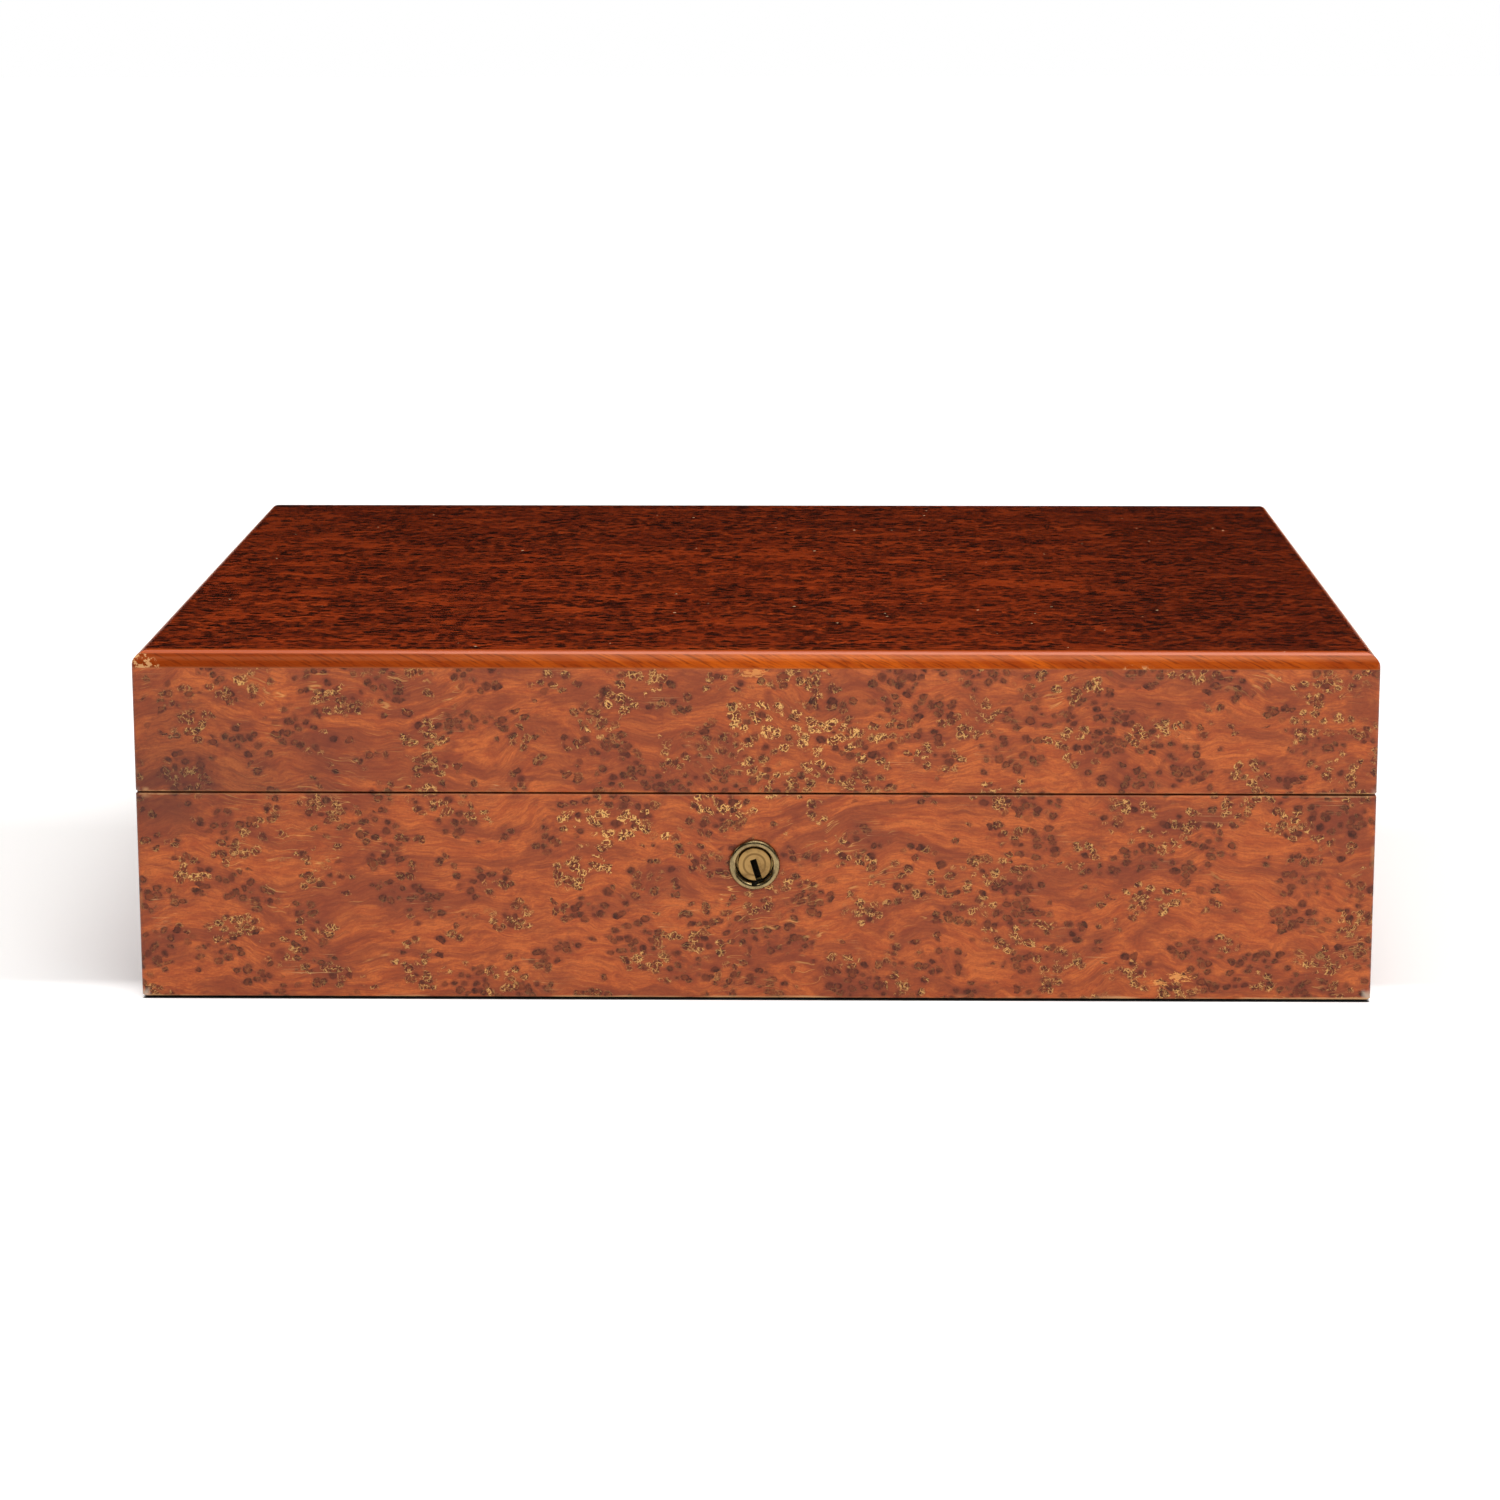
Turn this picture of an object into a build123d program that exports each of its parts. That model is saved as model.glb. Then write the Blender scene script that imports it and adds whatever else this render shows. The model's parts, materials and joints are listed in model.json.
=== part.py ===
import os
from math import cos, radians, sin, tan

from build123d import *

# Humidor: a burl-veneered wooden box with a hinged lid, a box lock, a cedar lining, and a
# hygrometer and a humidifier carried by the lid. Millimetres, +Z up, the front faces -Y.
# The origin is the middle of the underside, on the surface that the box stands on.

os.makedirs("parts", exist_ok=True)

# Box
case_width = 330.0
case_depth = 272.0
base_height = 55.8
lid_height = 37.7
seam_gap = 0.5
wall = 11.0
corner_radius = 1.4
arris = 0.3
bottom_thickness = 6.0
baize_thickness = 0.8
baize_inset = 2.0

# Lid top: a panel inside a frame of rounded solid strips, both under one burl veneer
strip_width = 7.6
strip_height = 4.2
strip_radius = 4.0
veneer_thickness = 0.6
panel_depth = 9.0

# Cedar lining
liner = 5.0
floor_liner_thickness = 3.0
ceiling_liner_thickness = 3.0
lip_height = 4.0
lip_relief = 0.4
lip_ease = 0.8
liner_gap = 0.5

# Cedar divider
divider_thickness = 6.0
divider_height = 38.0
divider_place = 52.0
divider_clearance = 0.3
divider_ease = 1.5
finger_radius = 16.0
finger_depth = 7.0

# Stop hinges
hinge_inset = 60.0
leaf_length = 44.0
leaf_depth = 9.5
leaf_thickness = 2.0
knuckle_radius = 2.3
knuckle_count = 5
knuckle_side_gap = 0.2
knuckle_relief = 0.3
axis_standoff = 0.4
hinge_pin_radius = 1.1
pin_head_radius = 1.7
pin_head_height = 0.8
pin_head_ease = 0.4
heel_drop = 4.6
opening_angle = 95.0
stop_spare = 0.2
leaf_screw_count = 3
leaf_screw_pitch = 15.0

# Fits
running_clearance = 0.05

# Countersunk screws
screw_head_radius = 2.1
screw_shank_radius = 1.1
screw_sink_angle = 82.0
screw_point = 1.6
screw_length = 9.0
screw_slot_width = 0.6
screw_slot_depth = 0.5

# Box lock
lock_drop = 19.0
lock_front_wood = 3.0
case_plate = 1.2
cap_thickness = 1.0
case_half_width = 20.6
case_below_axis = 9.0
case_corner = 2.0
selvedge_half_length = 27.0
selvedge_thickness = 1.5
selvedge_screw_place = 23.6
ring_radius = 6.8
ring_bore_radius = 4.95
ring_proud = 1.5
ring_outer_edge = 0.4
ring_inner_edge = 0.7
sleeve_radius = 5.9
notch_width = 1.5
notch_depth = 0.6
plug_radius = 4.5
plug_recess = 1.2
plug_ease = 0.2
plug_end_gap = 0.1
plug_flange_radius = 5.3
plug_flange_thickness = 1.5
spigot_radius = 1.5
keyway_width = 1.75
keyway_above = 1.4
keyway_depth = 5.0
keyway_tilt = 17.0
key_turn = 90.0
crank_throw = 3.2
crank_pin_radius = 0.8
crank_pin_length = 3.2
crank_slack = 0.2
bolt_thickness = 2.0
bolt_bar_height = 4.0
bolt_bar_rise = 5.5
bolt_finger_length = 3.6
bolt_finger_height = 2.4
bolt_upright = 2.0
bolt_tip_gap = 0.75
bolt_end_gap = 0.5
bolt_ride_gap = 0.1
talon_width = 6.0
talon_rise = 1.9
guide_width = 5.0
guide_height = 2.5
lug_spacing = 20.0
lug_thickness = 2.0
lug_width = 4.6
lug_drop = 7.5
lug_ease = 0.8
lug_clearance = 0.4
eye_width = 2.6
eye_height = 3.2
eye_floor = 1.0

# Hygrometer
hygrometer_inset = 59.0
cup_radius = 21.0
cup_wall = 0.8
cup_depth = 7.5
cup_fit = 0.1
bezel_radius = 23.5
bezel_sight_radius = 18.8
bezel_thickness = 1.2
bezel_ease = 0.5
dial_thickness = 0.6
dial_drop = 3.0
dial_ledge = 1.0
lens_thickness = 1.0
lens_drop = 0.1
lens_ledge = 0.8
needle_length = 14.5
needle_tail = 4.5
needle_root = 1.6
needle_tip = 0.5
needle_thickness = 0.4
needle_lift = 0.6
needle_hub_radius = 1.7
needle_rest = 234.0
spindle_radius = 0.6
bush_radius = 1.8
bush_height = 1.6

# Humidifier
humidifier_length = 88.0
humidifier_width = 36.0
humidifier_height = 13.0
humidifier_wall = 1.2
humidifier_corner = 3.0
humidifier_fit = 0.3
flange_reach = 2.0
flange_thickness = 1.4
rail_length = 76.0
rail_gauge = 1.2
rail_foot = 7.0
rail_screw_pitch = 54.0
rail_screw_length = 4.0
grille_thickness = 1.0
grille_ledge = 1.0
grille_fit = 0.1
grille_slot_length = 22.0
grille_slot_width = 2.2
grille_slot_pitch = 5.0
grille_slot_count = 15

# Levels, from the underside up
rim = baize_thickness + base_height
lid_rim = rim + seam_gap
top = lid_rim + lid_height
wall_top = top - strip_height
panel_top = top - veneer_thickness
panel_bottom = panel_top - panel_depth
ceiling = panel_bottom - ceiling_liner_thickness
bottom_top = baize_thickness + bottom_thickness
floor = bottom_top + floor_liner_thickness
lip_top = rim + lip_height

# Plan
front = -case_depth / 2
back = case_depth / 2
inner_front = front + wall
inner_width = case_width - 2 * wall
inner_depth = case_depth - 2 * wall
cedar_width = inner_width - 2 * liner
cedar_depth = inner_depth - 2 * liner
inner_plan = (inner_width, inner_depth)
hygrometer_place = hygrometer_inset - inner_width / 2
cedar_plan = (cedar_width, cedar_depth)
lip_plan = (inner_width - 2 * lip_relief, inner_depth - 2 * lip_relief)
field_width = case_width - 2 * strip_width
field_depth = case_depth - 2 * strip_width
sides = {"front": (0, -1), "back": (0, 1), "left": (-1, 0), "right": (1, 0)}

# Hinge axis, behind the back face and in the middle of the seam
hinge_y = back + knuckle_radius + axis_standoff
hinge_z = rim + seam_gap / 2
hinge_places = {"left": hinge_inset - case_width / 2, "right": case_width / 2 - hinge_inset}
stop_slope = tan(radians(opening_angle / 2 + stop_spare))
station = leaf_length / knuckle_count
leaf_screw_row = back - leaf_depth / 2

# Lock depths, counted in from the front face, and levels
case_front = front + lock_front_wood
cavity_front = case_front + case_plate
cap_front = inner_front - cap_thickness
plate_depth = wall - lock_front_wood
plate_middle = (case_front + inner_front) / 2
plug_front = front - ring_proud + plug_recess
flange_front = cavity_front + plug_end_gap
plug_seat = flange_front + plug_flange_thickness
lock_z = rim - lock_drop
case_top = rim - selvedge_thickness
case_height = case_top - lock_z + case_below_axis
bar_bottom = lock_z + bolt_bar_rise
eye_bottom = lid_rim - lug_drop + eye_floor
cavity_half_width = case_half_width - case_plate
plate_screws = [(-selvedge_screw_place, plate_middle), (selvedge_screw_place, plate_middle)]
lug_places = (-lug_spacing / 2, lug_spacing / 2)

# The crank points straight up halfway through the key's turn, and the bolt follows it to -X
crank_rest = key_turn / 2 - keyway_tilt
bolt_travel = 2 * crank_throw * sin(radians(key_turn / 2))
bolt_slot_place = bolt_travel / key_turn * crank_rest
bolt_throw = bolt_travel / key_turn * (key_turn - keyway_tilt)

# Hygrometer levels, counted up from the ceiling
cup_top = ceiling + cup_depth
dial_face = ceiling + dial_drop
lens_face = ceiling + lens_drop
mouth_radius = cup_radius - cup_wall

# Humidifier levels and rail place
humidifier_top = ceiling - humidifier_fit
humidifier_bottom = humidifier_top - humidifier_height
flange_half_width = humidifier_width / 2 + flange_reach
rail_leg = flange_half_width + humidifier_fit
rail_hook = humidifier_top - flange_thickness - humidifier_fit
mouth_length = humidifier_length - 2 * humidifier_wall
mouth_width = humidifier_width - 2 * humidifier_wall
mouth_corner = humidifier_corner - humidifier_wall
rail_screws = [
    (side * rail_screw_pitch / 2, facing * (rail_leg + rail_gauge + rail_foot / 2))
    for side in (-1, 1)
    for facing in (-1, 1)
]


def facing_front(y):
    # A plane across the box, seen from the front: its x is +X and its y is +Z.
    return Plane.XZ.offset(-y)


def write_part(piece, node):
    piece.part.label = node
    export_step(piece.part, f"parts/{node}.step")


def frame_plan(level, outer, inner):
    # The plan of a four-sided frame between two rectangles, each given as width and depth.
    with BuildSketch(Plane.XY.offset(level)) as plan:
        Rectangle(*outer)
        Rectangle(*inner, mode=Mode.SUBTRACT)
    return plan.sketch


def keep_side(side):
    # Keeps one board of a four-sided frame, mitred on the diagonals of the box's corners.
    side_x, side_y = sides[side]
    for end in (-1, 1):
        corner = (case_width / 2 * (side_x or end), case_depth / 2 * (side_y or end), 0)
        split(bisect_by=Plane(corner, z_dir=(side_x or -end, side_y or -end, 0)), keep=Keep.TOP)


def upright_places(places, level, facing):
    # Places on a level, for holes that open upwards (1) or downwards (-1).
    return Locations(*[Plane((x, y, level), z_dir=(0, 0, facing)) for x, y in places])


def sunk_holes(places, level, facing, thickness):
    with upright_places(places, level, facing):
        CounterSinkHole(
            radius=screw_shank_radius + running_clearance,
            counter_sink_radius=screw_head_radius + running_clearance,
            depth=thickness,
            counter_sink_angle=screw_sink_angle,
        )


def pilot_holes(places, level, facing, depth):
    with upright_places(places, level, facing):
        Hole(screw_shank_radius + running_clearance, depth=depth)


def write_screws(node, places, level, facing, length):
    # Slotted countersunk screws whose heads are flush with a level.
    head_depth = (screw_head_radius - screw_shank_radius) / tan(radians(screw_sink_angle / 2))
    with BuildPart() as screws:
        for x, y in places:
            with BuildSketch(Plane((x, y, level), x_dir=(1, 0, 0), z_dir=(0, -facing, 0))):
                with BuildLine():
                    Polyline(
                        (0, 0),
                        (screw_head_radius, 0),
                        (screw_shank_radius, -head_depth),
                        (screw_shank_radius, screw_point - length),
                        (0, -length),
                        close=True,
                    )
                make_face()
            revolve(axis=Axis((x, y, level), (0, 0, 1)))
            with BuildSketch(Plane((x, y, level), z_dir=(0, 0, facing))):
                Rectangle(2 * screw_head_radius, screw_slot_width)
            extrude(amount=-screw_slot_depth, mode=Mode.SUBTRACT)
    write_part(screws, node)


def leaf_screw_places(place):
    first = place - leaf_screw_pitch * (leaf_screw_count - 1) / 2
    return [(first + leaf_screw_pitch * number, leaf_screw_row) for number in range(leaf_screw_count)]


# Base walls, with the lock let into the front one and the hinges into the back one
for side in sides:
    with BuildPart() as board:
        with BuildSketch(Plane.XY.offset(baize_thickness)):
            RectangleRounded(case_width, case_depth, corner_radius)
            Rectangle(inner_width, inner_depth, mode=Mode.SUBTRACT)
        extrude(amount=base_height)
        for level in (0, -1):
            chamfer(board.faces().sort_by(Axis.Z)[level].outer_wire().edges(), arris)
        keep_side(side)
        if side == "front":
            with BuildSketch(Plane.XY.offset(rim)):
                with Locations((0, plate_middle)):
                    Rectangle(2 * selvedge_half_length, plate_depth)
            extrude(amount=-selvedge_thickness, mode=Mode.SUBTRACT)
            with BuildSketch(facing_front(case_front)):
                with Locations((0, case_top - case_height / 2)):
                    pocket = Rectangle(2 * case_half_width, case_height)
                fillet(pocket.vertices().group_by(Axis.Y)[0], case_corner)
            extrude(amount=-plate_depth, mode=Mode.SUBTRACT)
            with BuildSketch(facing_front(front)):
                with Locations((0, lock_z)):
                    Circle(sleeve_radius + running_clearance)
            extrude(amount=-lock_front_wood, mode=Mode.SUBTRACT)
            pilot_holes(plate_screws, case_top, 1, screw_length)
        if side == "back":
            with BuildSketch(Plane.XY.offset(rim)):
                with Locations(*[(place, leaf_screw_row) for place in hinge_places.values()]):
                    Rectangle(leaf_length, leaf_depth)
            extrude(amount=-leaf_thickness, mode=Mode.SUBTRACT)
            for place in hinge_places.values():
                pilot_holes(leaf_screw_places(place), rim - leaf_thickness, 1, screw_length)
    write_part(board, f"base_{side}_wall")

# Bottom board and the baize glued beneath it
with BuildPart() as base_bottom:
    with BuildSketch(Plane.XY.offset(baize_thickness)):
        Rectangle(inner_width, inner_depth)
    extrude(amount=bottom_thickness)
write_part(base_bottom, "base_bottom")

with BuildPart() as baize_underlay:
    with BuildSketch():
        Rectangle(case_width - 2 * baize_inset, case_depth - 2 * baize_inset)
    extrude(amount=baize_thickness)
write_part(baize_underlay, "baize_underlay")

# Cedar floor, and side liners that stand above the rim as the lip that locates the lid
with BuildPart() as base_floor_liner:
    with BuildSketch(Plane.XY.offset(bottom_top)):
        Rectangle(inner_width, inner_depth)
    extrude(amount=floor_liner_thickness)
write_part(base_floor_liner, "base_floor_liner")

for side in sides:
    with BuildPart() as board:
        extrude(frame_plan(floor, inner_plan, cedar_plan), amount=rim - floor)
        extrude(frame_plan(rim, lip_plan, cedar_plan), amount=lip_height)
        chamfer(board.faces().sort_by(Axis.Z)[-1].outer_wire().edges(), lip_ease)
        keep_side(side)
    write_part(board, f"base_{side}_liner")

# Loose cedar divider with a finger scoop in its top edge
with BuildPart() as cedar_divider:
    board_length = cedar_depth - 2 * divider_clearance
    board_bottom = floor + running_clearance
    with BuildSketch(Plane.YZ.offset(divider_place - divider_thickness / 2)):
        with Locations((0, board_bottom + divider_height / 2)):
            Rectangle(board_length, divider_height)
    extrude(amount=divider_thickness)
    long_edges = cedar_divider.edges().filter_by(Axis.Y).group_by(Axis.Z)[-1]
    fillet(long_edges, divider_ease)
    with BuildSketch(Plane.YZ.offset(divider_place - divider_thickness / 2)):
        with Locations((0, board_bottom + divider_height + finger_radius - finger_depth)):
            Circle(finger_radius)
    extrude(amount=divider_thickness, mode=Mode.SUBTRACT)
write_part(cedar_divider, "cedar_divider")

# Lid walls, with the link plate let into the front one and the hinges into the back one
for side in sides:
    with BuildPart() as board:
        with BuildSketch(Plane.XY.offset(lid_rim)):
            RectangleRounded(case_width, case_depth, corner_radius)
            Rectangle(inner_width, inner_depth, mode=Mode.SUBTRACT)
        extrude(amount=wall_top - lid_rim)
        chamfer(board.faces().sort_by(Axis.Z)[0].outer_wire().edges(), arris)
        keep_side(side)
        if side == "front":
            with BuildSketch(Plane.XY.offset(lid_rim)):
                with Locations((0, plate_middle)):
                    Rectangle(2 * selvedge_half_length, plate_depth)
            extrude(amount=selvedge_thickness, mode=Mode.SUBTRACT)
            pilot_holes(plate_screws, lid_rim + selvedge_thickness, -1, screw_length)
        if side == "back":
            with BuildSketch(Plane.XY.offset(lid_rim)):
                with Locations(*[(place, leaf_screw_row) for place in hinge_places.values()]):
                    Rectangle(leaf_length, leaf_depth)
            extrude(amount=leaf_thickness, mode=Mode.SUBTRACT)
            for place in hinge_places.values():
                pilot_holes(leaf_screw_places(place), lid_rim + leaf_thickness, -1, screw_length)
    write_part(board, f"lid_{side}_wall")

# Top panel, rebated over the walls
with BuildPart() as lid_top_panel:
    with BuildSketch(Plane.XY.offset(panel_bottom)):
        Rectangle(inner_width, inner_depth)
    extrude(amount=wall_top - panel_bottom)
    with BuildSketch(Plane.XY.offset(wall_top)):
        Rectangle(field_width, field_depth)
    extrude(amount=panel_top - wall_top)
    with BuildSketch(Plane.XY.offset(panel_bottom)):
        with Locations((hygrometer_place, 0)):
            Circle(cup_radius + cup_fit)
    extrude(amount=cup_top + cup_fit - panel_bottom, mode=Mode.SUBTRACT)
write_part(lid_top_panel, "lid_top_panel")

# The veneer covers the edge strips too, and is rounded over with them, so it ends in a thin
# edge partway round the curve
with BuildPart() as rounded_top:
    with BuildSketch(Plane.XY.offset(wall_top)):
        Rectangle(case_width, case_depth)
    extrude(amount=strip_height)
    fillet(rounded_top.faces().sort_by(Axis.Z)[-1].edges(), strip_radius)
    with BuildSketch(Plane.XY.offset(wall_top)):
        RectangleRounded(case_width, case_depth, corner_radius)
    extrude(amount=strip_height, mode=Mode.INTERSECT)

with BuildPart() as lid_top_veneer:
    add(rounded_top.part)
    split(bisect_by=Plane.XY.offset(panel_top), keep=Keep.TOP)
write_part(lid_top_veneer, "lid_top_veneer")

# Solid edge strips under the veneer, mitred at the corners
for side in sides:
    with BuildPart() as strip:
        add(rounded_top.part)
        split(bisect_by=Plane.XY.offset(panel_top), keep=Keep.BOTTOM)
        with BuildSketch(Plane.XY.offset(wall_top)):
            Rectangle(field_width, field_depth)
        extrude(amount=strip_height, mode=Mode.SUBTRACT)
        keep_side(side)
    write_part(strip, f"lid_{side}_strip")

# Cedar ceiling, with the hygrometer's hole, and the lid's side liners above the lip
with BuildPart() as lid_ceiling_liner:
    with BuildSketch(Plane.XY.offset(ceiling)):
        Rectangle(inner_width, inner_depth)
        with Locations((hygrometer_place, 0)):
            Circle(cup_radius + cup_fit, mode=Mode.SUBTRACT)
    extrude(amount=ceiling_liner_thickness)
    pilot_holes(rail_screws, ceiling, -1, ceiling_liner_thickness)
write_part(lid_ceiling_liner, "lid_ceiling_liner")

for side in sides:
    with BuildPart() as board:
        lid_liner_bottom = lip_top + liner_gap
        extrude(frame_plan(lid_liner_bottom, inner_plan, cedar_plan), amount=ceiling - lid_liner_bottom)
        keep_side(side)
    write_part(board, f"lid_{side}_liner")


# Stop hinges: each leaf's heel slopes from the axis, so that the two heels meet with the lid open
def write_leaf(node, place, facing, first_station):
    level = hinge_z + facing * seam_gap / 2
    heel_level = hinge_z + facing * heel_drop
    leaf_start = place - leaf_length / 2
    with BuildPart() as leaf:
        with BuildSketch(Plane.YZ.offset(leaf_start)):
            with BuildLine():
                Polyline(
                    (back - leaf_depth, level),
                    (hinge_y + seam_gap / 2 / stop_slope, level),
                    (hinge_y + heel_drop / stop_slope, heel_level),
                    (back, heel_level),
                    (back, level + facing * leaf_thickness),
                    (back - leaf_depth, level + facing * leaf_thickness),
                    close=True,
                )
            make_face()
        extrude(amount=leaf_length)
        for number in range(1 - first_station, knuckle_count, 2):
            with BuildSketch(Plane.YZ.offset(leaf_start + number * station - knuckle_side_gap / 2)):
                with Locations((hinge_y, hinge_z)):
                    Circle(knuckle_radius + knuckle_relief)
            extrude(amount=station + knuckle_side_gap, mode=Mode.SUBTRACT)
        for number in range(first_station, knuckle_count, 2):
            with BuildSketch(Plane.YZ.offset(leaf_start + number * station + knuckle_side_gap / 2)):
                with Locations((hinge_y, hinge_z)):
                    Circle(knuckle_radius)
            extrude(amount=station - knuckle_side_gap)
        with BuildSketch(Plane.YZ.offset(leaf_start)):
            with Locations((hinge_y, hinge_z)):
                Circle(hinge_pin_radius + running_clearance)
        extrude(amount=leaf_length, mode=Mode.SUBTRACT)
        sunk_holes(leaf_screw_places(place), level, -facing, leaf_thickness)
    write_part(leaf, node)


for name, place in hinge_places.items():
    write_leaf(f"hinge_{name}_base_leaf", place, -1, 0)
    write_leaf(f"hinge_{name}_lid_leaf", place, 1, 1)
    with BuildPart() as pin:
        with BuildSketch(Plane.YZ.offset(place - leaf_length / 2)):
            with Locations((hinge_y, hinge_z)):
                Circle(hinge_pin_radius)
        extrude(amount=leaf_length)
        for end in (-1, 1):
            with BuildSketch(Plane.YZ.offset(place + end * leaf_length / 2)):
                with Locations((hinge_y, hinge_z)):
                    Circle(pin_head_radius)
            extrude(amount=end * pin_head_height)
            fillet(pin.faces().sort_by(Axis.X)[-1 if end > 0 else 0].edges(), pin_head_ease)
    write_part(pin, f"hinge_{name}_pin")

every_leaf_screw = [spot for place in hinge_places.values() for spot in leaf_screw_places(place)]
write_screws("hinge_base_screws", every_leaf_screw, rim, 1, screw_length)
write_screws("hinge_lid_screws", every_leaf_screw, lid_rim, -1, screw_length)

# Lock case, open at the back and the top, with a ledge at each end for the bolt to ride on
with BuildPart() as lock_case:
    with BuildSketch(facing_front(case_front)):
        with Locations((0, case_top - case_height / 2)):
            outline = Rectangle(2 * case_half_width, case_height)
        fillet(outline.vertices().group_by(Axis.Y)[0], case_corner)
    extrude(amount=case_front - cap_front)
    with BuildSketch(facing_front(cavity_front)):
        with Locations((0, case_top - (case_height - case_plate) / 2)):
            Rectangle(2 * cavity_half_width, case_height - case_plate)
    extrude(amount=cavity_front - cap_front, mode=Mode.SUBTRACT)
    with BuildSketch(facing_front(cavity_front)):
        for end in (-1, 1):
            ledge_middle = end * (cavity_half_width - guide_width / 2)
            with Locations((ledge_middle, bar_bottom - bolt_ride_gap - guide_height / 2)):
                Rectangle(guide_width, guide_height)
    extrude(amount=cavity_front - cap_front)
    with BuildSketch(facing_front(case_front)):
        with Locations((0, lock_z)):
            Circle(plug_radius + running_clearance)
    extrude(amount=-case_plate, mode=Mode.SUBTRACT)
write_part(lock_case, "lock_case")

with BuildPart() as lock_cap:
    with BuildSketch(facing_front(cap_front)):
        with Locations((0, case_top - case_height / 2)):
            outline = Rectangle(2 * case_half_width, case_height)
        fillet(outline.vertices().group_by(Axis.Y)[0], case_corner)
        with Locations((0, lock_z)):
            Circle(spigot_radius + running_clearance, mode=Mode.SUBTRACT)
    extrude(amount=-cap_thickness)
write_part(lock_cap, "lock_cap")

# Selvedge, the lock's plate in the rim, slotted for the link plate's lugs
with BuildPart() as lock_selvedge:
    with BuildSketch(Plane.XY.offset(case_top)):
        with Locations((0, plate_middle)):
            Rectangle(2 * selvedge_half_length, plate_depth)
        with Locations(*[(place, plate_middle) for place in lug_places]):
            Rectangle(lug_thickness + 2 * lug_clearance, lug_width + 2 * lug_clearance, mode=Mode.SUBTRACT)
    extrude(amount=selvedge_thickness)
    sunk_holes(plate_screws, rim, 1, selvedge_thickness)
write_part(lock_selvedge, "lock_selvedge")
write_screws("lock_selvedge_screws", plate_screws, rim, 1, screw_length)

# Keyhole ring: a bullnose flange on a sleeve through the front wood, notched for the key's bit
with BuildPart() as lock_ring:
    with BuildSketch(Plane.XY.offset(lock_z)):
        with BuildLine():
            Polyline(
                (ring_bore_radius, front - ring_inner_edge),
                (ring_bore_radius, case_front),
                (sleeve_radius, case_front),
                (sleeve_radius, front),
                (ring_radius, front),
                (ring_radius, front - ring_outer_edge),
            )
            ThreePointArc(
                (ring_radius, front - ring_outer_edge),
                ((ring_radius + ring_bore_radius) / 2, front - ring_proud),
                (ring_bore_radius, front - ring_inner_edge),
            )
        make_face()
    revolve(axis=Axis((0, 0, lock_z), (0, 1, 0)))
    with BuildSketch(facing_front(front - ring_proud)):
        with Locations((0, lock_z - ring_bore_radius)):
            Rectangle(notch_width, 2 * notch_depth)
    extrude(amount=-ring_proud - notch_depth, mode=Mode.SUBTRACT)
write_part(lock_ring, "lock_ring")

# Lock plug: a keyway in front, a flange behind the case's front plate, then a crank pin
with BuildPart() as lock_plug:
    with BuildSketch(Plane.XY.offset(lock_z)):
        with BuildLine():
            Polyline(
                (0, plug_front),
                (plug_radius - plug_ease, plug_front),
                (plug_radius, plug_front + plug_ease),
                (plug_radius, flange_front),
                (plug_flange_radius, flange_front),
                (plug_flange_radius, plug_seat),
                (spigot_radius, plug_seat),
                (spigot_radius, inner_front - running_clearance),
                (0, inner_front - running_clearance),
                close=True,
            )
        make_face()
    revolve(axis=Axis((0, 0, lock_z), (0, 1, 0)))
    crank_x = crank_throw * sin(radians(crank_rest))
    crank_z = lock_z + crank_throw * cos(radians(crank_rest))
    with BuildSketch(facing_front(plug_seat)):
        with Locations((crank_x, crank_z)):
            Circle(crank_pin_radius)
    extrude(amount=-crank_pin_length)
    keyway_length = keyway_above + plug_radius
    with BuildSketch(facing_front(plug_front)):
        with Locations(Location((0, lock_z, 0), (0, 0, keyway_tilt))):
            with Locations((0, keyway_above - keyway_length / 2)):
                Rectangle(keyway_width, keyway_length)
    extrude(amount=-keyway_depth, mode=Mode.SUBTRACT)
write_part(lock_plug, "lock_plug")

# Bolt: a bar with two fingers that pass through the lugs, and a forked talon for the crank pin
with BuildPart() as lock_bolt:
    bar_left = bolt_throw + bolt_end_gap - cavity_half_width
    reach = lug_thickness / 2 + bolt_tip_gap
    bar_right = lug_spacing / 2 + reach + bolt_finger_length + bolt_upright
    finger_middle = eye_bottom + eye_height / 2
    upright_top = finger_middle + bolt_finger_height / 2
    slot_top = crank_throw + crank_pin_radius + crank_slack
    with BuildSketch(facing_front(plate_middle - bolt_thickness / 2)):
        with Locations(((bar_left + bar_right) / 2, bar_bottom + bolt_bar_height / 2)):
            Rectangle(bar_right - bar_left, bolt_bar_height)
        for place in lug_places:
            upright_place = place + reach + bolt_finger_length + bolt_upright / 2
            with Locations((upright_place, (bar_bottom + upright_top) / 2)):
                Rectangle(bolt_upright, upright_top - bar_bottom)
            with Locations((place + reach + (bolt_finger_length + bolt_upright) / 2, finger_middle)):
                Rectangle(bolt_finger_length + bolt_upright, bolt_finger_height)
        with Locations((bolt_slot_place, lock_z + (talon_rise + bolt_bar_rise) / 2)):
            Rectangle(talon_width, bolt_bar_rise - talon_rise)
        with Locations((bolt_slot_place, lock_z + (talon_rise + slot_top) / 2)):
            fork = (2 * (crank_pin_radius + crank_slack), slot_top - talon_rise)
            Rectangle(*fork, mode=Mode.SUBTRACT)
    extrude(amount=-bolt_thickness)
write_part(lock_bolt, "lock_bolt")

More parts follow.
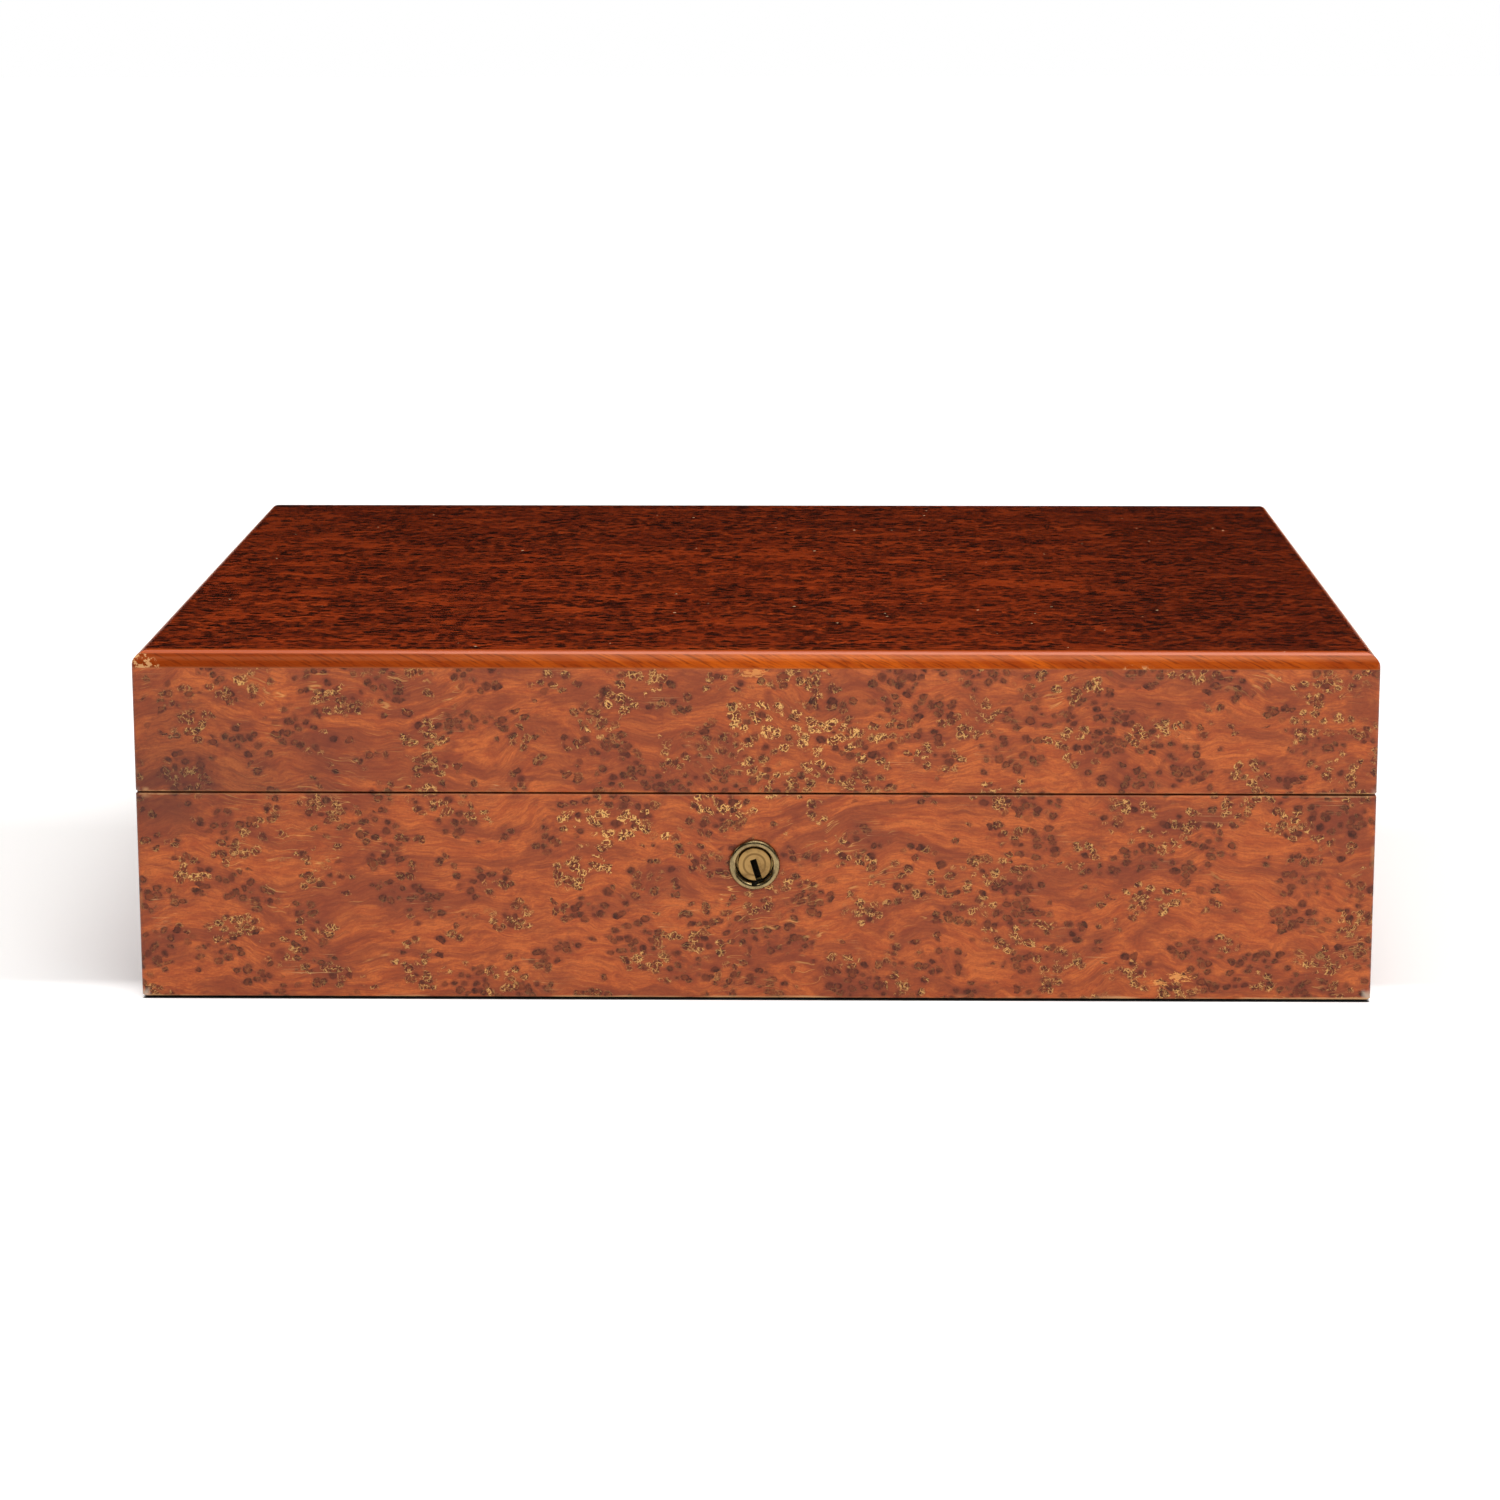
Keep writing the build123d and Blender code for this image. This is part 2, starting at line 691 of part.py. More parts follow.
# Link plate in the lid's rim, with two pierced lugs
with BuildPart() as link_plate:
    with BuildSketch(Plane.XY.offset(lid_rim)):
        with Locations((0, plate_middle)):
            Rectangle(2 * selvedge_half_length, plate_depth)
    extrude(amount=selvedge_thickness)
    for place in lug_places:
        with BuildSketch(Plane.YZ.offset(place - lug_thickness / 2)):
            with Locations((plate_middle, lid_rim - lug_drop / 2)):
                lug = Rectangle(lug_width, lug_drop)
            fillet(lug.vertices().group_by(Axis.Y)[0], lug_ease)
            with Locations((plate_middle, eye_bottom + eye_height / 2)):
                Rectangle(eye_width, eye_height, mode=Mode.SUBTRACT)
        extrude(amount=lug_thickness)
    sunk_holes(plate_screws, lid_rim, -1, selvedge_thickness)
write_part(link_plate, "link_plate")
write_screws("link_plate_screws", plate_screws, lid_rim, -1, screw_length)

# Hygrometer cup, stepped inside to seat the dial and the lens, with the spindle's bush
with BuildPart() as hygrometer_case:
    with BuildSketch(Plane((hygrometer_place, 0, 0), x_dir=(1, 0, 0), z_dir=(0, -1, 0))):
        with BuildLine():
            Polyline(
                (cup_radius, ceiling),
                (cup_radius, cup_top),
                (0, cup_top),
                (0, cup_top - cup_wall),
                (mouth_radius - lens_ledge - dial_ledge, cup_top - cup_wall),
                (mouth_radius - lens_ledge - dial_ledge, dial_face + dial_thickness),
                (mouth_radius - lens_ledge, dial_face + dial_thickness),
                (mouth_radius - lens_ledge, lens_face + lens_thickness),
                (mouth_radius, lens_face + lens_thickness),
                (mouth_radius, ceiling),
                close=True,
            )
        make_face()
    revolve(axis=Axis((hygrometer_place, 0, 0), (0, 0, 1)))
    with BuildSketch(Plane.XY.offset(cup_top - cup_wall - bush_height)):
        with Locations((hygrometer_place, 0)):
            Circle(bush_radius)
            Circle(spindle_radius + running_clearance, mode=Mode.SUBTRACT)
    extrude(amount=bush_height)
write_part(hygrometer_case, "hygrometer_case")

with BuildPart() as hygrometer_bezel:
    with BuildSketch(Plane.XY.offset(ceiling - bezel_thickness)):
        with Locations((hygrometer_place, 0)):
            Circle(bezel_radius)
            Circle(bezel_sight_radius, mode=Mode.SUBTRACT)
    extrude(amount=bezel_thickness)
    chamfer(hygrometer_bezel.faces().sort_by(Axis.Z)[0].edges(), bezel_ease)
write_part(hygrometer_bezel, "hygrometer_bezel")

with BuildPart() as hygrometer_dial:
    with BuildSketch(Plane.XY.offset(dial_face)):
        with Locations((hygrometer_place, 0)):
            Circle(mouth_radius - lens_ledge - running_clearance)
            Circle(spindle_radius + needle_hub_radius / 2, mode=Mode.SUBTRACT)
    extrude(amount=dial_thickness)
write_part(hygrometer_dial, "hygrometer_dial")

with BuildPart() as hygrometer_lens:
    with BuildSketch(Plane.XY.offset(lens_face)):
        with Locations((hygrometer_place, 0)):
            Circle(mouth_radius - running_clearance)
    extrude(amount=lens_thickness)
write_part(hygrometer_lens, "hygrometer_lens")

# Needle with its tail, hub and spindle, which turns in the cup's bush
with BuildPart() as hygrometer_needle:
    needle_level = dial_face - needle_lift
    needle_seat = Plane((hygrometer_place, 0, needle_level), z_dir=(0, 0, 1)).rotated((0, 0, needle_rest))
    with BuildSketch(needle_seat):
        with BuildLine():
            Polyline(
                (-needle_root / 2, -needle_tail),
                (needle_root / 2, -needle_tail),
                (needle_root / 2, 0),
                (needle_tip / 2, needle_length),
                (-needle_tip / 2, needle_length),
                (-needle_root / 2, 0),
                close=True,
            )
        make_face()
        Circle(needle_hub_radius)
    extrude(amount=-needle_thickness)
    with BuildSketch(Plane.XY.offset(needle_level)):
        with Locations((hygrometer_place, 0)):
            Circle(spindle_radius)
    extrude(amount=cup_top - cup_wall - running_clearance - needle_level)
write_part(hygrometer_needle, "hygrometer_needle")

# Humidifier case, open downwards, with a flange along each long side for the rails
with BuildPart() as humidifier_case:
    with BuildSketch(Plane.XY.offset(humidifier_bottom)):
        RectangleRounded(humidifier_length, humidifier_width, humidifier_corner)
    extrude(amount=humidifier_height)
    with BuildSketch(Plane.XY.offset(humidifier_top)):
        Rectangle(humidifier_length - 2 * humidifier_corner, 2 * flange_half_width)
    extrude(amount=-flange_thickness)
    with BuildSketch(Plane.XY.offset(humidifier_bottom)):
        RectangleRounded(mouth_length, mouth_width, mouth_corner)
    extrude(amount=grille_thickness, mode=Mode.SUBTRACT)
    with BuildSketch(Plane.XY.offset(humidifier_bottom + grille_thickness)):
        Rectangle(mouth_length - 2 * grille_ledge, mouth_width - 2 * grille_ledge)
    extrude(amount=humidifier_height - grille_thickness - humidifier_wall, mode=Mode.SUBTRACT)
write_part(humidifier_case, "humidifier_case")

with BuildPart() as humidifier_grille:
    with BuildSketch(Plane.XY.offset(humidifier_bottom)):
        RectangleRounded(mouth_length - 2 * grille_fit, mouth_width - 2 * grille_fit, mouth_corner)
        with GridLocations(grille_slot_pitch, 0, grille_slot_count, 1):
            SlotOverall(grille_slot_length, grille_slot_width, rotation=90, mode=Mode.SUBTRACT)
    extrude(amount=grille_thickness)
write_part(humidifier_grille, "humidifier_grille")

with BuildPart() as humidifier_pad:
    pad_bottom = humidifier_bottom + grille_thickness
    pad_top = humidifier_top - humidifier_wall
    pad_margin = 2 * (grille_ledge + grille_fit)
    with BuildSketch(Plane.XY.offset(pad_bottom)):
        Rectangle(mouth_length - pad_margin, mouth_width - pad_margin)
    extrude(amount=pad_top - pad_bottom)
write_part(humidifier_pad, "humidifier_pad")

# Rails of folded strip: a foot on the ceiling, a leg and a hook under the case's flange
for name, facing in {"front": -1, "back": 1}.items():
    with BuildPart() as rail:
        with BuildSketch(Plane.YZ.offset(-rail_length / 2)):
            with BuildLine():
                Polyline(
                    (facing * rail_leg, ceiling),
                    (facing * (rail_leg + rail_gauge + rail_foot), ceiling),
                    (facing * (rail_leg + rail_gauge + rail_foot), ceiling - rail_gauge),
                    (facing * (rail_leg + rail_gauge), ceiling - rail_gauge),
                    (facing * (rail_leg + rail_gauge), rail_hook - rail_gauge),
                    (facing * (rail_leg - flange_reach), rail_hook - rail_gauge),
                    (facing * (rail_leg - flange_reach), rail_hook),
                    (facing * rail_leg, rail_hook),
                    close=True,
                )
            make_face()
        extrude(amount=rail_length)
        sunk_holes(
            [spot for spot in rail_screws if spot[1] * facing > 0],
            ceiling - rail_gauge,
            -1,
            rail_gauge,
        )
    write_part(rail, f"humidifier_{name}_rail")
write_screws("humidifier_rail_screws", rail_screws, ceiling - rail_gauge, -1, rail_screw_length)
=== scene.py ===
import bpy
import bmesh
import json
import math
import random
from mathutils import Matrix, Vector
from mathutils.noise import noise as noiseAt


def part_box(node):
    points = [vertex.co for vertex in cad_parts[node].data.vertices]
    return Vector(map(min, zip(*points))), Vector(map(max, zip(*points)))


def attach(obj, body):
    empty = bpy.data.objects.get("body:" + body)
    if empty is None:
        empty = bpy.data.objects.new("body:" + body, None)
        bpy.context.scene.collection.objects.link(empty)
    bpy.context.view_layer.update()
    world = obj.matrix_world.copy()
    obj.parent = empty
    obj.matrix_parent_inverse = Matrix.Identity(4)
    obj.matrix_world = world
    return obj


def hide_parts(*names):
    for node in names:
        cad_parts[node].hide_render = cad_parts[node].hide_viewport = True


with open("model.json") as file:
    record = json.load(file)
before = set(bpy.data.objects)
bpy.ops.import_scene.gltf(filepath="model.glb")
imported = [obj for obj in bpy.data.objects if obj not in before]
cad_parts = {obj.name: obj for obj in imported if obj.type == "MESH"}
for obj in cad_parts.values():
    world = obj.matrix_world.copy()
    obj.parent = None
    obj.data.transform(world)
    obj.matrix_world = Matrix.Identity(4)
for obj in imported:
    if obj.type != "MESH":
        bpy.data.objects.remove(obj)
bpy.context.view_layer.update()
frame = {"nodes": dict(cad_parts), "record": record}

print("humidor: frame loaded")


# Node helpers

def srgb(red, green, blue):
    # a colour as seen on screen, 0 to 255, as the linear value that shaders use
    def linear(level):
        level /= 255
        return level / 12.92 if level <= 0.04045 else ((level + 0.055) / 1.055) ** 2.4
    return (linear(red), linear(green), linear(blue), 1.0)


def setSockets(node, sockets):
    for key, value in sockets.items():
        if isinstance(value, bpy.types.NodeSocket):
            node.id_data.links.new(value, node.inputs[key])
        else:
            node.inputs[key].default_value = value


def addNode(kind, sockets, **settings):
    # goes into the tree of the first socket that feeds it
    fed = next(value for value in sockets.values() if isinstance(value, bpy.types.NodeSocket))
    made = fed.id_data.nodes.new(kind)
    for name, value in settings.items():
        setattr(made, name, value)
    setSockets(made, sockets)
    return made


def calc(operation, first, second=0.0, third=0.0, clamp=False):
    made = addNode("ShaderNodeMath", {0: first, 1: second, 2: third},
                   operation=operation, use_clamp=clamp)
    return made.outputs[0]


def times(first, second, clamp=False):
    return calc("MULTIPLY", first, second, clamp=clamp)


def plus(first, second):
    return calc("ADD", first, second)


def minus(first, second):
    return calc("SUBTRACT", first, second)


def larger(first, second):
    return calc("MAXIMUM", first, second)


def unsigned(value):
    return calc("ABSOLUTE", value)


def scaleAdd(value, factor, added, clamp=False):
    return calc("MULTIPLY_ADD", value, factor, added, clamp)


def vectorCalc(operation, first, second=(0, 0, 0)):
    made = addNode("ShaderNodeVectorMath", {0: first, 1: second}, operation=operation)
    return made.outputs["Value" if operation == "LENGTH" else "Vector"]


def scaled(vector, factors):
    return vectorCalc("MULTIPLY", vector, factors)


def shifted(vector, shift, reach):
    return vectorCalc("ADD", vector, scaled(shift, reach))


def turned(vector, rotation, shift=(0, 0, 0), scale=(1, 1, 1)):
    made = addNode("ShaderNodeMapping", {
        "Vector": vector, "Location": shift, "Rotation": rotation, "Scale": scale,
    })
    return made.outputs[0]


def split(vector):
    return addNode("ShaderNodeSeparateXYZ", {0: vector}).outputs


def joined(x=0.0, y=0.0, z=0.0):
    return addNode("ShaderNodeCombineXYZ", {0: x, 1: y, 2: z}).outputs[0]


def channels(colour):
    return addNode("ShaderNodeSeparateColor", {0: colour}).outputs


def remap(value, low, high, toLow=0.0, toHigh=1.0, smooth=True):
    made = addNode(
        "ShaderNodeMapRange",
        {"Value": value, "From Min": low, "From Max": high, "To Min": toLow, "To Max": toHigh},
        interpolation_type="SMOOTHSTEP" if smooth else "LINEAR",
    )
    return made.outputs["Result"]


def lineAt(value, level, outer, inner):
    # 1 where the value meets the level, 0 beyond the outer distance from it
    return remap(unsigned(minus(value, level)), outer, inner)


def tint(colour, other, mask, amount=None):
    # the colour, turned into the other one where the mask is up
    factor = mask if amount is None else times(mask, amount)
    made = addNode("ShaderNodeMix", {0: factor, 6: colour, 7: other}, data_type="RGBA", blend_type="MIX")
    return made.outputs[2]


def noise(vector, scale, detail=2.0, roughness=0.5, distortion=0.0, output="Fac"):
    made = addNode(
        "ShaderNodeTexNoise",
        {"Vector": vector, "Scale": scale, "Detail": detail, "Roughness": roughness,
         "Distortion": distortion},
    )
    return made.outputs[output]


def grainNoise(vector, factors, detail=2.0, roughness=0.5, distortion=0.0):
    # noise with its own scale along each axis
    return noise(scaled(vector, factors), 1.0, detail, roughness, distortion)


def voronoi(vector, scale, feature="F1", **settings):
    return addNode("ShaderNodeTexVoronoi", {"Vector": vector, "Scale": scale},
                   feature=feature, **settings).outputs


def patchAt(place, middle, factors, ragged, soft):
    # 1 inside a ragged patch round the middle given, 0 outside
    away = vectorCalc("LENGTH", scaled(vectorCalc("SUBTRACT", place, middle), factors))
    return remap(plus(away, ragged), 1.0 + soft, 1.0 - soft)


def bump(height, strength, distance):
    made = addNode("ShaderNodeBump", {"Height": height, "Strength": strength, "Distance": distance})
    return made.outputs["Normal"]


nodeGap = {"across": 240, "down": 190}


def arrange(tree):
    # sets each node one column to the left of what it feeds
    column = {}

    def place(node, depth):
        if column.get(node, -1) >= depth:
            return
        column[node] = depth
        for socket in node.inputs:
            for link in socket.links:
                place(link.from_node, depth + 1)

    for node in tree.nodes:
        if not any(socket.links for socket in node.outputs):
            place(node, 0)
    rows = {}
    for node, depth in column.items():
        rows[depth] = rows.get(depth, 0) + 1
        node.location = (-nodeGap["across"] * depth, -nodeGap["down"] * rows[depth])


def newGroup(name, inputs, outputs):
    # an input without a value is a vector, and one with a tuple a colour
    tree = bpy.data.node_groups.new(name, "ShaderNodeTree")
    for socketName, value in inputs.items():
        kind = "Vector" if value is None else "Color" if isinstance(value, tuple) else "Float"
        socket = tree.interface.new_socket(socketName, in_out="INPUT", socket_type="NodeSocket" + kind)
        if value is not None:
            socket.default_value = value
    for socketName in outputs:
        kind = "Color" if socketName == "Colour" else "Float"
        tree.interface.new_socket(socketName, in_out="OUTPUT", socket_type="NodeSocket" + kind)
    return tree.nodes.new("NodeGroupInput").outputs, tree.nodes.new("NodeGroupOutput")


def finishGroup(leave, results):
    setSockets(leave, results)
    arrange(leave.id_data)
    return leave.id_data


def useGroup(group, sockets):
    return addNode("ShaderNodeGroup", sockets, node_tree=group).outputs


def newMaterial(name):
    made = bpy.data.materials.new(name)
    made.use_nodes = True
    tree = made.node_tree
    tree.nodes.clear()
    shader = tree.nodes.new("ShaderNodeBsdfPrincipled")
    addNode("ShaderNodeOutputMaterial", {"Surface": shader.outputs[0]})
    place = tree.nodes.new("ShaderNodeTexCoord").outputs["Object"]
    return made, shader, place


def finishMaterial(made, shader, sockets):
    setSockets(shader, sockets)
    arrange(made.node_tree)
    return made


# Shared shader groups

figureLook = {
    "inputs": {
        "Vector": None,
        "Eye Scale": 425.0,
        "Island Scale": 105.0,
        "Island Cover": 0.0,
        "Thread Amount": 1.0,
        "Light": srgb(203, 108, 54),
        "Middle": srgb(170, 80, 42),
        "Shade": srgb(114, 52, 37),
        "Eye": srgb(62, 30, 21),
        "Thread": srgb(236, 180, 104),
    },
    "driftScale": 21, "driftReach": (0.026, 0.026, 0.026),
    "swirlScale": 85, "swirlReach": (0.006, 0.006, 0.006),
    "flutterScale": 480, "flutterReach": (0.0015, 0.0015, 0.0015),
    "raggedReach": (0.003, 0.003, 0.003),
    "eyeSquash": (0.9, 0.9, 1.12), "eyeUnsquash": (1.11, 1.11, 0.893),
    "eyeRadius": 0.36, "eyeSpread": 0.18, "brokenScale": 950, "strays": (0.945, 0.96),
    "islandSquash": (0.7, 0.7, 1.25), "islandReach": 0.47, "islandSpread": 0.2, "edgeSpread": 0.12,
    "crowdScale": 16, "crowdSpread": 0.14,
    "fibre": (240, 240, 1500), "strand": (120, 120, 420), "patch": (24, 24, 78),
    "mottleScale": 1500, "parting": -0.7,
    "bendScale": 480, "webScale": 840.0, "cutScale": 520,
    "line": (44, 44, 620), "regionScale": 26, "shownScale": 150,
    "patchAmount": 0.62, "fibreAmount": 0.5, "islandAmount": 0.3, "haloAmount": 0.5,
    "mottleAmount": 0.22, "hollowAmount": 0.4, "goldenAmount": 0.4, "paleAmount": 0.85,
}


def makeBurlGroup():
    # Burl figure: grain that runs along x and y and parts round islands of small dark eyes
    look = figureLook
    take, leave = newGroup("burlFigure", look["inputs"], ["Colour", "Height"])
    place = take["Vector"]

    def wander(scale, detail, roughness=0.5):
        colour = noise(place, scale, detail, roughness, output="Color")
        return vectorCalc("SUBTRACT", colour, (0.5, 0.5, 0.5))

    drift = wander(look["driftScale"], 2)
    swirl = wander(look["swirlScale"], 2)
    flutter = wander(look["flutterScale"], 3, 0.6)
    warped = shifted(place, drift, look["driftReach"])
    warped = shifted(warped, swirl, look["swirlReach"])
    ragged = shifted(place, swirl, look["raggedReach"])
    ragged = shifted(ragged, flutter, look["flutterReach"])

    # eyes: one round spot per cell, kept where the cell's own centre lies on an island
    cells = voronoi(scaled(ragged, look["eyeSquash"]), take["Eye Scale"])
    centre = scaled(cells["Position"], look["eyeUnsquash"])
    islands = voronoi(scaled(centre, look["islandSquash"]), take["Island Scale"])
    around = voronoi(scaled(ragged, look["islandSquash"]), take["Island Scale"])["Distance"]
    kind = channels(islands["Color"])
    dice = channels(cells["Color"])
    crowd = scaleAdd(noise(place, look["crowdScale"], 1), look["crowdSpread"], -0.5 * look["crowdSpread"])
    reach = scaleAdd(kind[0], look["islandSpread"], look["islandReach"])
    reach = plus(plus(reach, take["Island Cover"]), crowd)
    reach = plus(reach, scaleAdd(dice[1], look["edgeSpread"], -0.5 * look["edgeSpread"]))
    onIsland = remap(minus(reach, islands["Distance"]), -0.01, 0.05)
    kept = larger(onIsland, remap(dice[2], *look["strays"]))
    radius = scaleAdd(dice[0], look["eyeSpread"], look["eyeRadius"])
    inside = minus(radius, cells["Distance"])
    broken = remap(noise(place, look["brokenScale"], 2, 0.6), 0.34, 0.6, 1.0, 0.62)
    depth = times(scaleAdd(dice[1], 0.3, 0.7), broken)
    eye = times(times(remap(inside, -0.08, 0.1), kept), depth)
    hollow = times(remap(inside, 0.1, 0.3), remap(dice[2], 0.2, 0.6))
    halo = times(remap(inside, -0.4, 0.02), kept)

    # grain: lines of equal height that bulge round each eye
    offset = split(vectorCalc("SUBTRACT", ragged, centre))[2]
    pull = times(remap(cells["Distance"], 0.8, 0.1), kept)
    parted = times(times(offset, pull), look["parting"])
    flow = vectorCalc("ADD", warped, joined(z=parted))
    fibre = grainNoise(flow, look["fibre"], 4, 0.74, 0.6)
    strand = grainNoise(flow, look["strand"], 5, 0.72, 0.8)
    patch = grainNoise(flow, look["patch"], 5, 0.64, 1.3)

    # threads: pale forked ones over the eyes, and long golden ones along the grain
    curl = lineAt(noise(ragged, look["bendScale"], 2, 0.5, 1.4), 0.5, 0.03, 0.01)
    curl = times(curl, remap(inside, -0.24, -0.04))
    web = voronoi(ragged, look["webScale"], "DISTANCE_TO_EDGE")["Distance"]
    cut = remap(noise(warped, look["cutScale"], 2, 0.6), 0.49, 0.56)
    web = times(remap(web, 0.1, 0.035), cut)
    web = times(web, remap(inside, -0.2, 0.0))
    lucky = remap(dice[2], 0.08, 0.3)
    pale = times(remap(kind[1], 0.3, 0.9, 0.12, 0.95), take["Thread Amount"])
    squiggle = times(larger(times(curl, 0.5), web), times(lucky, kept))
    squiggle = times(squiggle, pale, clamp=True)
    line = lineAt(grainNoise(flow, look["line"], 1, 0.5, 0.4), 0.5, 0.016, 0.004)
    region = remap(noise(place, look["regionScale"], 1), 0.52, 0.64)
    shown = remap(noise(warped, look["shownScale"], 1), 0.5, 0.6)
    golden = times(times(line, shown), times(region, take["Thread Amount"]))

    mottle = noise(place, look["mottleScale"], 2, 0.6)
    colour = tint(take["Light"], take["Middle"], remap(strand, 0.3, 0.7))
    for mask, amount in (
        (remap(patch, 0.45, 0.62), look["patchAmount"]),
        (remap(fibre, 0.4, 0.66), look["fibreAmount"]),
        (remap(around, 0.6, 0.25), look["islandAmount"]),
        (halo, look["haloAmount"]),
        (remap(mottle, 0.35, 0.7), look["mottleAmount"]),
    ):
        colour = tint(colour, take["Shade"], mask, amount)
    colour = tint(colour, take["Eye"], eye)
    colour = tint(colour, take["Middle"], times(hollow, eye), look["hollowAmount"])
    colour = tint(colour, take["Thread"], golden, look["goldenAmount"])
    colour = tint(colour, take["Thread"], squiggle, look["paleAmount"])
    height = scaleAdd(eye, -0.6, times(fibre, 0.4))
    return finishGroup(leave, {"Colour": colour, "Height": height})


def makeEdgeGroup():
    # For a point on a box: how far the nearest edge and corner are, and how deep it
    # lies behind the four sides, and whether it belongs to the left or right one
    take, leave = newGroup("boxEdge", {"Vector": None, "Low": None, "High": None},
                           ["Distance", "Inset", "Corner", "Side"])
    below = split(vectorCalc("SUBTRACT", take["Vector"], take["Low"]))
    above = split(vectorCalc("SUBTRACT", take["High"], take["Vector"]))
    x, y, z = [calc("MINIMUM", below[axis], above[axis]) for axis in range(3)]
    near, far = calc("MINIMUM", x, y), larger(x, y)
    return finishGroup(leave, {
        "Distance": calc("MINIMUM", far, larger(near, z)),
        "Inset": near,
        "Corner": larger(far, z),
        "Side": calc("LESS_THAN", x, y),
    })


wearLook = {
    "inputs": {"Vector": None, "Distance": 0.0, "Width": 0.0006},
    "raggedScale": 260, "knockScale": 90, "knockReach": 0.0016,
}


def makeWearGroup():
    # Worn, paler arrises, and sparse knocks along them
    take, leave = newGroup("arrisWear", wearLook["inputs"], ["Wear"])
    ragged = scaleAdd(noise(take["Vector"], wearLook["raggedScale"], 4, 0.7), 2.6, -0.9)
    reach = times(take["Width"], ragged)
    line = remap(minus(take["Distance"], reach), 0.0003, -0.0001)
    knocks = remap(noise(take["Vector"], wearLook["knockScale"], 2, 0.5), 0.62, 0.7)
    deep = times(remap(take["Distance"], wearLook["knockReach"], 0.0004), knocks)
    return finishGroup(leave, {"Wear": larger(line, deep)})


markLook = {
    "scratch": (12, 12, 900), "scratchWidth": 0.004,
    "turns": ((0.5, 3.1), (-0.9, 7.7), (1.9, 12.3)), "patchScale": 60,
    "speckScale": 190.0, "speckSize": 0.1,
}


def makeMarkGroup():
    # Fine pale scratches and specks of dust
    take, leave = newGroup("finishMarks", {"Vector": None}, ["Scratch", "Speck"])
    lines = []
    for turn, seed in markLook["turns"]:
        laid = turned(take["Vector"], (turn, turn * 0.7, turn), (seed, seed, seed), markLook["scratch"])
        lines.append(lineAt(noise(laid, 1.0, 1, 0.4), 0.5, markLook["scratchWidth"], 0.0))
    patchy = remap(noise(take["Vector"], markLook["patchScale"], 2), 0.6, 0.68)
    scratch = times(larger(larger(lines[0], lines[1]), lines[2]), patchy)
    dots = voronoi(take["Vector"], markLook["speckScale"])
    size = remap(channels(dots["Color"])[1], 0.72, 1.0, 0.0, markLook["speckSize"], smooth=False)
    speck = remap(minus(dots["Distance"], size), 0.0, -0.03)
    return finishGroup(leave, {"Scratch": scratch, "Speck": speck})


burlFigure = makeBurlGroup()
boxEdge = makeEdgeGroup()
arrisWear = makeWearGroup()
finishMarks = makeMarkGroup()
print("humidor: shader groups built")


# Places taken from the frame

def spanOf(names):
    lows, highs = zip(*[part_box(name) for name in names])
    return (tuple(min(corner[axis] for corner in lows) for axis in range(3)),
            tuple(max(corner[axis] for corner in highs) for axis in range(3)))


def middleOf(name):
    low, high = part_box(name)
    return tuple((lower + upper) / 2 for lower, upper in zip(low, high))


wallNames = ["front_wall", "back_wall", "left_wall", "right_wall"]
baseSpan = spanOf(["base_" + name for name in wallNames])
lidSpan = spanOf(["lid_" + name for name in wallNames] + ["lid_top_veneer"])
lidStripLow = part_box("lid_front_strip")[0]


# Materials

burlLook = {
    "wearColour": srgb(206, 158, 108),
    "chalk": srgb(206, 192, 172),
    "struck": srgb(226, 154, 84),
    "darkTone": srgb(62, 40, 38),
    "scratch": srgb(214, 168, 112),
    "dust": srgb(228, 186, 172),
    "rimLight": srgb(150, 84, 50),
    "rimDark": srgb(116, 58, 34),
    "roughness": 0.42, "specular": 0.2, "relief": (0.2, 0.0001),
    "veneer": 0.0006, "wearWidth": 0.00045,
    "cloudScale": 70, "dustScale": 45,
    "threadExtra": 1.8, "threadLeast": 0.85, "coverExtra": 0.15,
    "darkToneAmount": 0.55, "scratchAmount": 0.5, "dustAmount": 0.6, "wearAmount": 0.6,
    "chalkHeights": (0.012, 0.006),
    "footHeights": (0.0013, 0.0008), "footPatches": (26, 26, 0),
    "splinter": (520, 520, 1300),
    "rimGrain": (7, 150, 150), "rimPores": (70, 1400, 1400),
}
# a place is its middle and how steeply it fades along each axis
baseWallLook = {
    "threads": ((-0.018, -0.136, 0.0445), (30, 28, 66)),
    "darkTone": ((-0.165, -0.136, 0.058), (28, 28, 60)),
    "chalk": 0.6, "foot": 0.75,
    "knocks": (
        ((0.1138, -0.136, 0.0068), (330, 100, 900), 0.8),
        ((0.1085, -0.136, 0.0052), (500, 100, 1500), 0.7),
    ),
}
lidWallLook = {
    "threads": ((-0.004, -0.136, 0.0746), (28, 28, 80)),
    "darkTone": ((-0.165, -0.136, 0.06), (13, 13, 36)),
    "chalk": 0.2, "foot": 0.0,
    "knocks": (((0.0, -0.136, 0.0895), (420, 100, 800), 0.6),),
}


